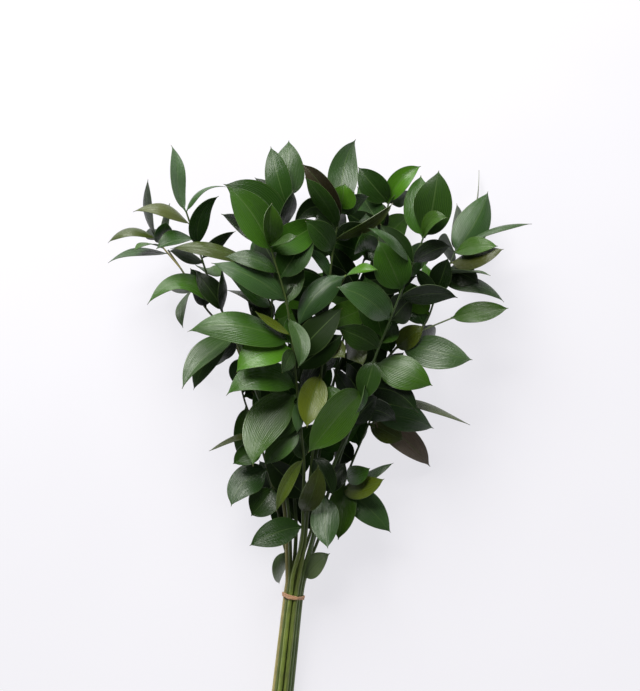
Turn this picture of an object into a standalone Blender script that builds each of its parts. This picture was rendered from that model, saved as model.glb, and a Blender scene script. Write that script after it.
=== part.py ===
"""A tied bunch of fresh ruscus, lying on its back: twelve leafy stems and the rubber band round them.

The layout is given on a plan of the bunch seen from the front. Plan x runs to the right and plan y
runs down, towards the cut ends, one unit being PLAN_UNIT millimetres at middle depth. Heights are in
millimetres above the surface that the bunch lies on. Each stem carries the leaves that show at the
front, placed one by one, and further leaves at the back, placed by a seeded rule.
"""

import math
from random import Random

import bmesh
import bpy
from mathutils import Vector
from mathutils.bvhtree import BVHTree

# Driving dimensions, in millimetres
PLAN_UNIT = 1.15
PLAN_CENTRE = (320.0, 345.5)
EYE_DISTANCE = 1700.0
MIDDLE_HEIGHT = 100.0
STEM_RADIUS_AT_CUT = 2.85
STEM_RADIUS_AT_HEAD = 1.75
STEM_RADIUS_AT_TIP = 1.05
THICK_UNTIL = 0.25
HEAD_FROM = 0.6
STEM_SIDES = 5
TWIG_RADIUS = 1.0
BUNDLE_PITCH = 6.25
TIE = (293.3, 596.0, 34.0)
CUT = (277.5, 738.0, 11.6)
ABOVE_TIE = (296.8, 572.0, 38.8)
SPREAD_AT_CUT = 1.18
SPREAD_ABOVE_TIE = 1.2
BLADE_THICKNESS = 0.8
ROOT_SPREAD = 0.4
ROOT_INSIDE_END = 1.3
CLEARANCE = 0.45
FLOOR_CLEARANCE = 1.2
MOST_MOVED = 70
RESTING_STEPS = 12
BAND_WIDTH = 5.6
BAND_THICKNESS = 1.3
BAND_GAP = 0.45
BAND_LEAN = (-0.08, 0.14)

# Colours from the photograph and how rough each surface is
GREEN, GREEN_ROUGHNESS = (0.045, 0.11, 0.03), 0.4
TAN, TAN_ROUGHNESS = (0.5, 0.28, 0.16), 0.7

# How leaves differ, smallest and largest: arch and swing as shares of the length, fold and wave as
# slopes of the halves, twist in degrees
ARCHES = (0.04, 0.16)
SWINGS = (-0.035, 0.035)
FOLDS = (-0.25, 0.4)
WAVES = (0.04, 0.13)
TWISTS = (-28, 28)

# Leaves at the back: length in millimetres, width as a share of it, and turn in degrees
BACK_LENGTHS = (56, 80)
BACK_WIDTHS = (0.44, 0.54)
BACK_TURNS = (-38, 10)
BACK_MOST_UP = 4

# Shares of a leaf's length at which its outline is set
SHOWN_STATIONS = (0.0, 0.13, 0.4, 0.74, 1.0)
BACK_STATIONS = (0.0, 0.2, 0.62, 1.0)

# Where each stem lies among the others in the tie: across and up, in pitches
SLOTS = {
    "stem_front": (-0.5, 1.443),
    "stem_centre": (0.5, 1.443),
    "stem_left": (-1.0, 0.577),
    "stem_low_inner": (0.0, 0.577),
    "stem_right_centre": (1.0, 0.577),
    "stem_far_left": (-1.5, -0.289),
    "stem_back_left": (-0.5, -0.289),
    "stem_centre_back": (0.5, -0.289),
    "stem_right": (1.5, -0.289),
    "stem_low_left": (-1.0, -1.155),
    "stem_top_right": (0.0, -1.155),
    "stem_low_outer": (1.0, -1.155),
}

# The way each stem takes above the tie: plan x, plan y, height
ROUTES = {
    "stem_far_left": ((283, 500, 54), (262, 420, 62), (246, 372, 66), (232, 338, 68), (208, 311, 70),
                      (195, 292, 70), (183, 272, 68), (168, 250, 66)),
    "stem_left": ((287, 500, 70), (268, 425, 90), (248, 370, 104), (236, 340, 110), (222, 311, 116),
                  (210, 283, 120), (200, 253, 122), (186, 211, 124)),
    "stem_low_left": ((283, 540, 40), (277, 505, 46), (268, 470, 54), (256, 430, 62), (245, 402, 68),
                      (238, 372, 72)),
    "stem_back_left": ((296, 520, 50), (290, 460, 58), (282, 400, 66), (274, 345, 74), (272, 300, 80),
                       (275, 250, 84), (283, 228, 86), (290, 197, 88)),
    "stem_front": ((302, 540, 70), (303, 500, 88), (304, 465, 102), (301, 430, 116), (297, 388, 132),
                   (293, 350, 146), (287, 305, 158), (280, 278, 164), (270, 246, 168)),
    "stem_centre": ((305, 540, 66), (309, 490, 84), (314, 440, 100), (320, 385, 114), (326, 325, 126),
                    (330, 277, 134), (334, 245, 138), (341, 208, 142)),
    "stem_centre_back": ((307, 520, 48), (318, 460, 58), (330, 400, 68), (342, 345, 78), (350, 305, 84),
                         (360, 272, 90), (367, 251, 92)),
    "stem_top_right": ((303, 530, 38), (312, 470, 42), (328, 400, 44), (348, 340, 46), (366, 280, 50),
                       (380, 235, 54), (389, 202, 56)),
    "stem_right_centre": ((312, 540, 61), (323, 495, 76), (338, 455, 90), (352, 425, 100),
                          (366, 385, 112), (376, 355, 120), (390, 320, 128), (402, 290, 134),
                          (413, 263, 138), (424, 236, 140)),
    "stem_right": ((312, 545, 44), (326, 500, 50), (346, 440, 58), (370, 385, 64), (396, 348, 68),
                   (424, 325, 70), (437, 292, 70), (449, 266, 68), (456, 250, 66)),
    "stem_low_inner": ((308, 540, 51), (321, 497, 62), (333, 465, 70), (344, 438, 78), (352, 410, 86),
                       (364, 385, 92), (376, 363, 96)),
    "stem_low_outer": ((314, 550, 34), (326, 520, 36), (342, 488, 40), (353, 460, 44), (365, 432, 50),
                       (375, 408, 56), (382, 382, 60)),
}

# Short side twigs: plan x, plan y and height of the end; each starts at the nearest point lower down
TWIGS = {
    "stem_low_outer": ((398, 399, 66),),
    "stem_right": ((452, 318, 74),),
    "stem_far_left": ((156, 239, 72),),
    "stem_back_left": ((254, 262, 130),),
    "stem_centre": ((346, 275, 142),),
}

# Leaves that show: plan x and y of the root, plan x and y of the point, rise of the point above the
# root in mm, width in mm, turn in degrees of the face towards the plan's top (for an upright leaf to
# its right), and bow of the middle the same way in plan units. More numbers, where they are given, say
# how high the middle arches, as a share of the length, how steeply the halves fold up, and how far the
# part near the point swings to that side, as a share of the length.
LEAVES = {
    "stem_far_left": (
        (156, 239, 148, 179, 8, 21, -60, -6), (156, 239, 108, 243, 14, 22, 56, 12),
        (169, 255, 108, 263, 26, 22, 60, 4), (166, 249, 134, 251, 40, 18, 58, 5),
        (162, 244, 170, 203, -8, 16, 62, 0), (158, 241, 150, 228, -22, 20, 15, 0),
        (161, 244, 167, 222, 16, 22, 20, 0),
        (190, 289, 183, 328, 26, 20, -50, -3), (204, 306, 190, 268, 18, 26, 20, 3),
        (196, 293, 167, 280, -58, 24, 10, 2), (233, 339, 196, 372, -62, 30, -20, 0),
    ),
    "stem_left": (
        (186, 214, 171, 145, -34, 23, 46, -7, 0.08, 0.1, 0.1), (190, 227, 133, 212, 16, 22, 52, 9),
        (187, 214, 226, 187, 8, 17, 64, 8), (196, 243, 156, 249, 24, 28, 50, 4),
        (198, 248, 219, 196, 14, 26, 42, -7), (203, 258, 236, 231, 6, 18, -48, 0),
        (204, 262, 169, 251, -12, 20, -50, 3), (222, 311, 222, 265, 14, 20, 66, 2),
        (234, 336, 182, 389, 44, 33, 36, 4), (230, 330, 192, 391, 8, 27, -20, 6),
        (236, 340, 208, 362, -30, 24, -20, 0), (221, 308, 147, 305, 22, 29, 44, 22),
        (222, 311, 198, 272, -24, 26, 30, 3), (244, 360, 234, 384, -10, 22, 0, 0),
    ),
    "stem_low_left": (
        (268, 470, 231, 507, 18, 39, 18, 7, -0.06, -0.1), (274, 486, 251, 516, 2, 36, 0, -2),
        (258, 438, 209, 451, 14, 20, 70, 4), (247, 405, 238, 461, -14, 24, -20, 1),
        (284, 550, 278, 590, 12, 26, 12, -2), (262, 452, 233, 464, 10, 25, 10, 3),
    ),
    "stem_back_left": (
        (290, 198, 289, 140, -16, 38, 10, 1, 0.08, -0.05), (287, 208, 271, 148, -22, 30, -25, -2),
        (284, 225, 254, 176, -16, 27, -38, 3), (282, 230, 293, 190, 28, 26, 52, 2),
        (277, 242, 223, 184, 20, 52, 0, 12), (276, 244, 221, 214, -20, 26, -25, 4),
        (272, 304, 226, 290, 8, 22, 58, 3),
        (273, 324, 246, 300, 10, 34, 12, 4), (254, 262, 170, 249, 20, 23, 40, 5),
        (273, 306, 222, 268, 20, 32, 28, 2),
    ),
    "stem_front": (
        (271, 250, 227, 186, 10, 40, 6, 4), (271, 248, 272, 203, 18, 26, 40, 0, 0.1, 0.5),
        (270, 247, 297, 236, 30, 18, 50, 2), (287, 303, 292, 248, -22, 34, 10, 0, 0.05, 0.5),
        (286, 300, 211, 263, 20, 32, 28, 5, 0.12, -0.1), (278, 272, 225, 258, -14, 26, 18, 6),
        (290, 337, 255, 311, 16, 16, 60, -2),
        (292, 345, 187, 332, 14, 41, 30, 8, 0.12, -0.25), (293, 350, 236, 373, 22, 36, -6, 8, 0.12, 0.1),
        (290, 322, 298, 368, 26, 22, 25, 6), (293, 350, 282, 373, 18, 20, 20, 0),
        (292, 340, 288, 316, 26, 16, 50, -2), (298, 390, 226, 396, 24, 38, 30, 15, 0.12, -0.1),
        (299, 396, 253, 467, 34, 46, 6, 12, -0.14, -0.06), (299, 405, 276, 440, -12, 28, 0, 0),
        (302, 428, 264, 466, 0, 30, 0, 2), (303, 460, 293, 433, -14, 20, 30, 0),
        (298, 400, 297, 433, 18, 17, 45, 0), (303, 460, 276, 512, 22, 18, 30, -5),
        (303, 515, 318, 465, 30, 27, 10, 2), (301, 424, 284, 385, -22, 26, 20, 0),
        (302, 528, 249, 546, 16, 32, 10, 5),
    ),
    "stem_centre": (
        (341, 205, 356, 139, -30, 34, 8, -4, 0.06, 0.15), (341, 209, 345, 184, 12, 31, 0, 0),
        (338, 222, 302, 166, 2, 29, -26, 3), (337, 226, 305, 180, 2, 25, -55, 3),
        (336, 230, 292, 226, 20, 28, -42, 22), (333, 250, 305, 221, 30, 28, 4, 2),
        (334, 238, 393, 203, 20, 17, -46, -3), (340, 212, 369, 196, -8, 22, -62, 2),
        (334, 240, 372, 231, -12, 26, -45, 4), (330, 279, 302, 246, 14, 22, 55, 2),
        (345, 277, 378, 270, 14, 20, 56, 1), (346, 276, 298, 328, 4, 32, 16, 9, 0.12, -0.45),
        (324, 340, 345, 358, 20, 24, 0, 2),
        (321, 374, 307, 428, 26, 33, 10, -2, 0.1, 0.25), (319, 390, 346, 403, 14, 20, 10, 3),
        (318, 400, 346, 440, -10, 30, 0, 0), (323, 350, 300, 390, -14, 28, -20, 0),
        (327, 318, 312, 282, -10, 28, -30, -3), (312, 460, 334, 496, 4, 28, -15, 2),
    ),
    "stem_centre_back": (
        (348, 312, 321, 332, 28, 29, 20, 3),
        (344, 338, 363, 366, 42, 28, -20, 3), (366, 252, 362, 233, 60, 30, 0, 0),
        (366, 253, 366, 213, -6, 30, -18, 0), (364, 262, 396, 240, 8, 28, -20, 3),
        (340, 352, 318, 368, 30, 28, -28, 3), (352, 298, 322, 262, 6, 30, -20, 2),
    ),
    "stem_top_right": (
        (389, 203, 358, 167, 4, 33, -16, -1), (389, 202, 421, 166, 12, 24, 6, 7),
        (388, 205, 417, 197, -6, 22, -58, 3), (387, 208, 374, 222, 34, 20, 44, 0),
        (380, 236, 345, 212, 14, 28, -20, 2),
        (372, 262, 408, 246, -14, 30, 10, 2),
    ),
    "stem_right_centre": (
        (424, 237, 439, 170, 22, 44, -14, 3), (423, 238, 421, 175, -22, 36, -10, -4),
        (424, 238, 448, 218, 34, 22, 46, 7), (402, 290, 378, 240, 14, 43, 4, 0, 0.12, 0.1),
        (413, 264, 367, 228, 36, 18, 46, 3),
        (413, 264, 451, 246, -4, 27, -35, 3), (391, 318, 336, 287, 34, 36, 14, 5, 0.12, 0.1),
        (400, 302, 458, 298, 12, 28, -45, 3), (378, 350, 337, 327, 12, 30, -18, 3),
        (374, 362, 362, 401, -8, 28, -14, 0), (366, 386, 356, 414, 30, 16, 50, 0),
        (363, 392, 308, 451, 4, 48, -10, 5, 0.1, 0.1), (352, 425, 378, 396, -8, 28, -30, 2),
        (323, 495, 328, 549, 32, 34, 4, 1, 0.02, -0.2),
    ),
    "stem_right": (
        (455, 252, 488, 191, -28, 41, 8, 2, 0.04, -0.25), (456, 251, 458, 202, -38, 18, -55, 0),
        (456, 250, 479, 170, -62, 14, 66, 12, -0.1), (455, 252, 532, 224, 8, 18, 70, 10),
        (455, 253, 498, 246, 34, 25, 46, 3), (450, 263, 504, 249, 34, 31, 40, 0),
        (446, 272, 479, 284, 16, 28, -16, 5), (445, 276, 490, 276, 44, 18, 60, 1),
        (444, 282, 505, 302, 22, 23, 46, 6), (452, 318, 509, 308, 16, 25, 18, 2, 0.1, 0.15),
        (436, 296, 416, 268, 16, 20, -46, 0), (437, 294, 425, 263, -6, 24, 36, 0),
        (438, 290, 448, 258, 14, 28, -14, 0), (400, 345, 473, 360, 26, 43, 26, 1, 0.14, -0.15),
        (424, 326, 434, 357, -62, 30, 10, 0), (424, 326, 408, 292, -20, 28, 0, 0),
        (404, 352, 424, 326, 16, 26, 10, 1), (305, 579, 330, 553, 8, 25, 26, 3),
    ),
    "stem_low_inner": (
        (375, 364, 433, 386, 18, 40, 8, 2, 0.12, -0.1), (366, 392, 418, 413, 18, 32, -40, 11),
        (352, 412, 398, 424, 4, 28, -40, 6),
        (324, 490, 346, 462, -6, 32, 10, 0),
    ),
    "stem_low_outer": (
        (373, 413, 437, 431, 26, 35, 27, 2), (368, 424, 404, 441, 10, 29, -12, 2),
        (372, 416, 433, 470, 0, 31, 0, 4), (398, 399, 470, 425, 8, 20, 64, 5),
        (344, 485, 338, 540, 20, 33, -4, 0), (343, 488, 391, 533, 12, 36, 10, 4),
        (343, 488, 384, 478, 34, 27, 26, -6), (343, 488, 394, 463, 22, 18, 60, -3),
        (346, 480, 370, 468, 36, 23, 10, 0), (382, 384, 404, 352, -6, 28, 0, 0),
    ),
}
RESTING = {"stem_far_left": 10, "stem_right": 14}

# The leafy head on the plan, where leaves at the back cover what still shows through, and their number
HEAD = (
    (264, 165), (300, 152), (322, 178), (345, 160), (364, 182), (400, 188), (432, 190), (448, 212),
    (475, 205), (484, 228), (478, 256), (470, 282), (440, 300), (424, 332), (446, 345), (424, 378),
    (402, 396), (414, 420), (384, 432), (358, 442), (350, 480), (346, 515), (316, 532), (288, 532),
    (256, 520), (240, 490), (240, 440), (246, 402), (240, 386), (214, 352), (230, 325), (256, 314),
    (254, 290), (222, 286), (200, 290), (188, 278), (200, 246), (224, 256), (240, 240), (236, 200),
)
BACK_LEAVES = 80
TRIES = 60
CELL = 4.0

# Places in the head where the background shows through: middle on the plan, half width and half height
GAPS = (
    (298, 203, 7, 9), (358, 223, 8, 7), (402, 205, 4, 7), (416, 234, 7, 5), (443, 224, 4, 8),
    (435, 257, 5, 4), (304, 260, 3, 4), (240, 244, 8, 9), (389, 366, 4, 16), (354, 378, 3, 4),
    (352, 452, 5, 6), (366, 477, 9, 6), (403, 334, 4, 3), (411, 329, 5, 3), (419, 323, 4, 3),
)


def in_space(x, y, height):
    """The place, in millimetres, that is seen at a point of the plan when it is this high."""
    nearer = 1.0 - (height - MIDDLE_HEIGHT) / EYE_DISTANCE
    unit = PLAN_UNIT * nearer
    return Vector(((x - PLAN_CENTRE[0]) * unit, (PLAN_CENTRE[1] - y) * unit, height))


def on_plan(point):
    """The plan's x and y where a place is seen."""
    nearer = 1.0 - (point.z - MIDDLE_HEIGHT) / EYE_DISTANCE
    return PLAN_CENTRE[0] + point.x / nearer / PLAN_UNIT, PLAN_CENTRE[1] - point.y / nearer / PLAN_UNIT


def in_head(x, y):
    """Whether a point of the plan lies inside the leafy head and outside its gaps."""
    if any(((x - gap_x) / wide) ** 2 + ((y - gap_y) / high) ** 2 < 1 for gap_x, gap_y, wide, high in GAPS):
        return False
    inside = False
    for (x0, y0), (x1, y1) in zip(HEAD, HEAD[1:] + HEAD[:1]):
        if (y0 > y) != (y1 > y) and x < x0 + (x1 - x0) * (y - y0) / (y1 - y0):
            inside = not inside
    return inside


def head_cells():
    """The squares of the plan, CELL units wide, whose middles are in the head."""
    across, down = zip(*HEAD)
    return {(i, j) for i in range(int(min(across) / CELL), int(max(across) / CELL) + 1)
            for j in range(int(min(down) / CELL), int(max(down) / CELL) + 1)
            if in_head((i + 0.5) * CELL, (j + 0.5) * CELL)}


def through(points, per_span=6):
    """A smooth line through the points."""
    ends = [2 * points[0] - points[1], *points, 2 * points[-1] - points[-2]]
    line = []
    for before, start, stop, after in zip(ends, ends[1:], ends[2:], ends[3:]):
        for k in range(per_span):
            t = k / per_span
            line.append(0.5 * (2 * start + (stop - before) * t
                               + (2 * before - 5 * start + 4 * stop - after) * t ** 2
                               + (3 * start - before - 3 * stop + after) * t ** 3))
    return line + [points[-1].copy()]


def stem_line(name):
    across, up = SLOTS[name]
    cut, tie, above = (in_space(*place) + Vector((across, 0.0, up)) * BUNDLE_PITCH * spread
                       for place, spread in ((CUT, SPREAD_AT_CUT), (TIE, 1.0), (ABOVE_TIE, SPREAD_ABOVE_TIE)))
    return through([cut, cut.lerp(tie, 0.5), tie, above, *(in_space(*p) for p in ROUTES[name])])


def lengths_along(line):
    total = [0.0]
    for a, b in zip(line, line[1:]):
        total.append(total[-1] + (b - a).length)
    return total


def stem_radius(share):
    """Thick up to the tie, then thinner towards the tip."""
    if share < THICK_UNTIL:
        return STEM_RADIUS_AT_CUT
    if share < HEAD_FROM:
        done = (share - THICK_UNTIL) / (HEAD_FROM - THICK_UNTIL)
        return STEM_RADIUS_AT_CUT + (STEM_RADIUS_AT_HEAD - STEM_RADIUS_AT_CUT) * done
    done = (share - HEAD_FROM) / (1 - HEAD_FROM)
    return STEM_RADIUS_AT_HEAD + (STEM_RADIUS_AT_TIP - STEM_RADIUS_AT_HEAD) * done


def tube(line, radii, sides):
    """Vertices and faces of a closed tube along a line."""
    verts, faces = [], []
    side = Vector((1.0, 0.0, 0.0))
    for i, centre in enumerate(line):
        along = (line[min(i + 1, len(line) - 1)] - line[max(i - 1, 0)]).normalized()
        side = (side - along * side.dot(along)).normalized()
        other = along.cross(side)
        for k in range(sides):
            turn = math.tau * k / sides
            verts.append(centre + (side * math.cos(turn) + other * math.sin(turn)) * radii[i])
    for i in range(len(line) - 1):
        for k in range(sides):
            a, b = i * sides + k, i * sides + (k + 1) % sides
            faces += [(a, b, b + sides), (a, b + sides, a + sides)]
    last = (len(line) - 1) * sides
    for k in range(1, sides - 1):
        faces += [(0, k + 1, k), (last, last + k, last + k + 1)]
    return verts, faces


def half_width(t):
    """Half a blade's width at share t of its length: a short stalk, a rounded blade and a sharp point."""
    blade = min(max((t - 0.05) / 0.9, 0.0), 1.0)
    return max(2.69 * blade ** 0.62 * (1 - blade) ** 0.83, 0.1 * (1 - t), 1.2 * (1 - t) * t ** 4)


class Leaf:
    """One blade: its root and point, its width, and how its face is turned, arched, folded and curled."""

    def __init__(self, root, point, width, turn, bow, draw, stations, form=()):
        self.root = root + Vector([draw.uniform(-ROOT_SPREAD, ROOT_SPREAD) for _ in range(3)])
        self.point, self.width, self.stations = point, width, stations
        self.turn, self.bow = math.radians(turn), bow
        drawn = [draw.uniform(*limits) for limits in (ARCHES, FOLDS, SWINGS)]
        arch, self.fold, swing = (*form, *drawn[len(form):])
        self.arch, self.swing = arch * (point - root).length, swing * (point - root).length
        self.twist = math.radians(draw.uniform(*TWISTS))
        self.wave = draw.uniform(*WAVES)
        self.phase = draw.uniform(0.0, math.tau)
        self.row = None

    def sideways(self):
        """Across the blade on the plan, towards the plan's top or, for an upright leaf, its right."""
        chord = self.point - self.root
        side = Vector((-chord.y, chord.x, 0.0))
        if side.length < 1e-6:
            return Vector((0.0, 1.0, 0.0))
        side.normalize()
        flip = side.y < 0 if abs(side.y) > 0.5 else side.x < 0
        return -side if flip else side

    def place(self, t, s):
        """The point at share t of the length and s across, from -1 to 1, with the face's direction there."""
        side = self.sideways()
        middle = (self.root + self.point) / 2 + side * self.bow + Vector((0, 0, self.arch))
        control = 2 * middle - (self.root + self.point) / 2
        spine = self.root * (1 - t) ** 2 + control * 2 * t * (1 - t) + self.point * t ** 2
        spine += side * self.swing * 6.75 * t ** 2 * (1 - t)
        along = ((control - self.root) * (1 - t) + (self.point - control) * t).normalized()
        turn = self.turn + self.twist * (t - 0.4)
        face = Vector((0, 0, 1)) * math.cos(turn) + side * math.sin(turn)
        face = (face - along * face.dot(along)).normalized()
        across = along.cross(face)
        half = self.width / 2 * half_width(t)
        lift = self.fold * abs(s) ** 1.5 + self.wave * s * math.sin(self.phase + 5.5 * t)
        return spine + across * half * s + face * half * lift, face

    def blade(self, grow=0.0, start=0.0):
        """Vertices and faces of the closed blade, which is a wedge at its root and at its point.

        For tests of clearance, grow widens it all round and start leaves out its first part.
        """
        stations = [start + (1 - start) * t for t in self.stations]
        thick = BLADE_THICKNESS / 2 + grow
        verts = []
        for t in stations:
            edge = 1.0 + 2 * grow / self.width / max(half_width(t), 0.1)
            for s in (0,) if t in (stations[0], stations[-1]) else (-1, 0, 1):
                place, face = self.place(t, s * edge)
                verts += [place + face * thick, place - face * thick]
        first, last, tip = 2, len(verts) - 8, len(verts) - 2
        faces = []
        for end, rim, way in ((0, first, 1), (tip, last, -1)):
            fan = [(end, rim + 2, rim), (end, rim + 4, rim + 2), (end + 1, rim + 1, rim + 3),
                   (end + 1, rim + 3, rim + 5), (end, rim, rim + 1), (end, rim + 1, end + 1),
                   (end, rim + 5, rim + 4), (end, end + 1, rim + 5)]
            faces += [face[::way] for face in fan]
        for a in range(first, last, 6):
            for k in (0, 2):
                faces += [(a + k, a + k + 2, a + k + 8), (a + k, a + k + 8, a + k + 6),
                          (a + k + 1, a + k + 9, a + k + 3), (a + k + 1, a + k + 7, a + k + 9)]
            faces += [(a, a + 6, a + 7), (a, a + 7, a + 1), (a + 4, a + 5, a + 11), (a + 4, a + 11, a + 10)]
        return verts, faces

    def cells(self):
        """The squares of the plan that the blade covers."""
        seen = (on_plan(self.place(t / 14, s / 3)[0]) for t in range(1, 15) for s in range(-3, 4))
        return {(int(x / CELL), int(y / CELL)) for x, y in seen}


class Layout:
    """Where every stem, twig and leaf goes. Leaves move up or down, unseen from the front, to keep clear."""

    def __init__(self):
        self.lines, self.twigs, self.leaves = {}, {}, {name: [] for name in SLOTS}
        self.placed = []
        for name in SLOTS:
            line = stem_line(name)
            self.lines[name] = line
            self.note(name, tube(line, self.radii(line), STEM_SIDES))
            self.twigs[name] = [self.twig(name, end) for end in TWIGS.get(name, ())]
        for name, rows in LEAVES.items():
            draw = Random("shown " + name)
            for number, row in enumerate(rows):
                self.shown(name, number, row, draw)
        self.fill()

    @staticmethod
    def radii(line):
        along = lengths_along(line)
        return [stem_radius(a / along[-1]) for a in along]

    def twig(self, name, end):
        line = self.lines[name]
        tip = in_space(*end)
        near = min(range(len(line)), key=lambda i: (line[i] - tip).length)
        start = line[max(near - 5, 0)]
        bend = start.lerp(tip, 0.5) + Vector((0, 0, 2.0))
        twig = through([start, bend, tip], 3)
        self.note(name, tube(twig, [TWIG_RADIUS] * len(twig), STEM_SIDES))
        return twig

    def note(self, name, shape):
        verts, faces = shape
        low = Vector([min(v[k] for v in verts) for k in range(3)])
        high = Vector([max(v[k] for v in verts) for k in range(3)])
        self.placed.append((name, low, high, BVHTree.FromPolygons(verts, faces)))

    def clear(self, name, leaf):
        """Whether a leaf keeps off the surface, the other stems and, past its root, its own stem's leaves."""
        whole = leaf.blade(CLEARANCE)
        if min(v.z for v in whole[0]) < FLOOR_CLEARANCE:
            return False
        outer = leaf.blade(CLEARANCE / 2, 0.16)
        low = Vector([min(v[k] for v in whole[0]) for k in range(3)])
        high = Vector([max(v[k] for v in whole[0]) for k in range(3)])
        trees = {True: None, False: None}
        for other, its_low, its_high, tree in self.placed:
            if any(low[k] > its_high[k] or high[k] < its_low[k] for k in range(3)):
                continue
            own = other == name
            if trees[own] is None:
                trees[own] = BVHTree.FromPolygons(*(outer if own else whole))
            if trees[own].overlap(tree):
                return False
        return True

    def settle(self, name, leaf, most_up=MOST_MOVED):
        """Moves the leaf's point up or down as little as clears it; False where nothing does."""
        height, turn = leaf.point.z, leaf.turn
        for step in range(0, MOST_MOVED, 3):
            for way in (step, -step) if 0 < step < most_up else (-step,):
                for extra in (0, 12, -12, 24):
                    leaf.point.z = height + way
                    leaf.turn = turn + math.radians(extra)
                    if self.clear(name, leaf):
                        return True
        return False

    def root_near(self, name, x, y):
        """The place inside the stem or its twigs that is seen nearest a point of the plan."""
        choices = []
        for line in (self.lines[name], *self.twigs[name]):
            choices += [*line[:-1], line[-1] + (line[-2] - line[-1]).normalized() * ROOT_INSIDE_END]
        return min(choices, key=lambda p: math.dist(on_plan(p), (x, y))).copy()

    def shown(self, name, number, row, draw):
        x, y, point_x, point_y, rise, width, turn, bow, *form = row
        root = self.root_near(name, x, y)
        point = in_space(point_x, point_y, root.z + rise)
        leaf = Leaf(root, point, width, turn, bow * PLAN_UNIT, draw, SHOWN_STATIONS, form)
        leaf.row = name, number
        if RESTING.get(name) == number:
            for _ in range(RESTING_STEPS):
                leaf.point.z -= min(v.z for v in leaf.blade()[0])
            self.keep(name, leaf)
        elif self.settle(name, leaf):
            self.keep(name, leaf)

    def back_leaf(self, draw):
        """A leaf drawn at random, on the side of a stem that is away from the viewer."""
        name = draw.choice(list(SLOTS))
        line = self.lines[name]
        at = draw.randrange(int(len(line) * 0.36), len(line) - 1)
        along = (line[at + 1] - line[at]).normalized()
        turn = draw.uniform(0, math.tau)
        out = Vector((math.cos(turn), 0.3 * math.sin(turn), -0.2 - 0.7 * abs(math.sin(turn))))
        out = (out - along * out.dot(along)).normalized()
        reach = draw.uniform(*BACK_LENGTHS)
        point = line[at] + (along * draw.uniform(0.0, 0.9) + out).normalized() * reach
        point.z = max(point.z, 4.0 + draw.uniform(0, 12))
        width, turned = draw.uniform(*BACK_WIDTHS) * reach, draw.uniform(*BACK_TURNS)
        return name, Leaf(line[at].copy(), point, width, turned, 0.0, draw, BACK_STATIONS)

    def fill(self):
        """Adds leaves at the back, each of them the try that covers most of what still shows through."""
        head, draw = head_cells(), Random("back leaves")
        bare = head - {cell for leaves in self.leaves.values() for leaf in leaves for cell in leaf.cells()}
        for _ in range(BACK_LEAVES):
            tries = []
            for _ in range(TRIES):
                name, leaf = self.back_leaf(draw)
                cells = leaf.cells()
                tries.append((len(cells & bare) - 3 * len(cells - head), len(tries), name, leaf))
            for _, _, name, leaf in sorted(tries, reverse=True)[:5]:
                if self.settle(name, leaf, BACK_MOST_UP):
                    self.keep(name, leaf)
                    bare -= leaf.cells()
                    break

    def keep(self, name, leaf):
        self.leaves[name].append(leaf)
        self.note(name, leaf.blade())

    def shift(self):
        """The move that puts the bunch's middle over the origin and its lowest point at height 0."""
        low = [min(lowest[k] for _, lowest, _, _ in self.placed) for k in range(3)]
        high = [max(highest[k] for _, _, highest, _ in self.placed) for k in range(3)]
        return Vector((-(low[0] + high[0]) / 2, -(low[1] + high[1]) / 2, -low[2]))


def band_outline(layout):
    """The hull round the stems where they are tied, as points round the tie's centre, with its frame."""
    centre = in_space(*TIE)
    along = (in_space(*ABOVE_TIE) - in_space(*CUT)).normalized()
    across = Vector((0, 0, 1)).cross(along).normalized() * -1
    up = across.cross(along)
    if up.z < 0:
        up = -up
    reach = STEM_RADIUS_AT_CUT + BAND_GAP
    dots = []
    for line in layout.lines.values():
        near = min(zip(line, line[1:]), key=lambda pair: abs((pair[0] + pair[1] - 2 * centre).dot(along)))
        a, b = ((p - centre).dot(along) for p in near)
        crossing = near[0].lerp(near[1], a / (a - b))
        dots.append(((crossing - centre).dot(across), (crossing - centre).dot(up)))
    return centre, along, across, up, dots, reach


def hull_reach(dots, reach, turn):
    """How far the hull of circles round the dots goes in a direction."""
    return max(x * math.cos(turn) + y * math.sin(turn) for x, y in dots) + reach


def ring_points(dots, reach, count):
    """Points round the hull of the circles, from the crossing of neighbouring touching lines."""
    points = []
    for k in range(count):
        t0, t1 = math.tau * k / count, math.tau * (k + 1) / count
        h0, h1 = hull_reach(dots, reach, t0), hull_reach(dots, reach, t1)
        d = math.sin(t1 - t0)
        points.append(((h0 * math.sin(t1) - h1 * math.sin(t0)) / d,
                       (h1 * math.cos(t0) - h0 * math.cos(t1)) / d))
    return points


def band_shape(layout):
    centre, along, across, up, dots, reach = band_outline(layout)
    inner, outer = ring_points(dots, reach, 16), ring_points(dots, reach + BAND_THICKNESS, 16)
    verts, faces = [], []
    for (xi, yi), (xo, yo) in zip(inner, outer):
        for (x, y), shift in (((xi, yi), -0.5), ((xi, yi), 0.5), ((xo, yo), 0.5), ((xo, yo), -0.5)):
            lean = BAND_LEAN[0] * x + BAND_LEAN[1] * y
            verts.append(centre + across * x + up * y + along * (BAND_WIDTH * shift + lean))
    n = len(inner)
    for k in range(n):
        a, b = 4 * k, 4 * ((k + 1) % n)
        for j in range(4):
            p, q = j, (j + 1) % 4
            faces += [(a + p, a + q, b + q), (a + p, b + q, b + p)]
    return verts, faces


def plain_material(name, colour, roughness):
    material = bpy.data.materials.new(name)
    material.use_nodes = True
    surface = material.node_tree.nodes["Principled BSDF"]
    surface.inputs["Base Color"].default_value = (*colour, 1.0)
    surface.inputs["Roughness"].default_value = roughness
    surface.inputs["Metallic"].default_value = 0.0
    return material


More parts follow.
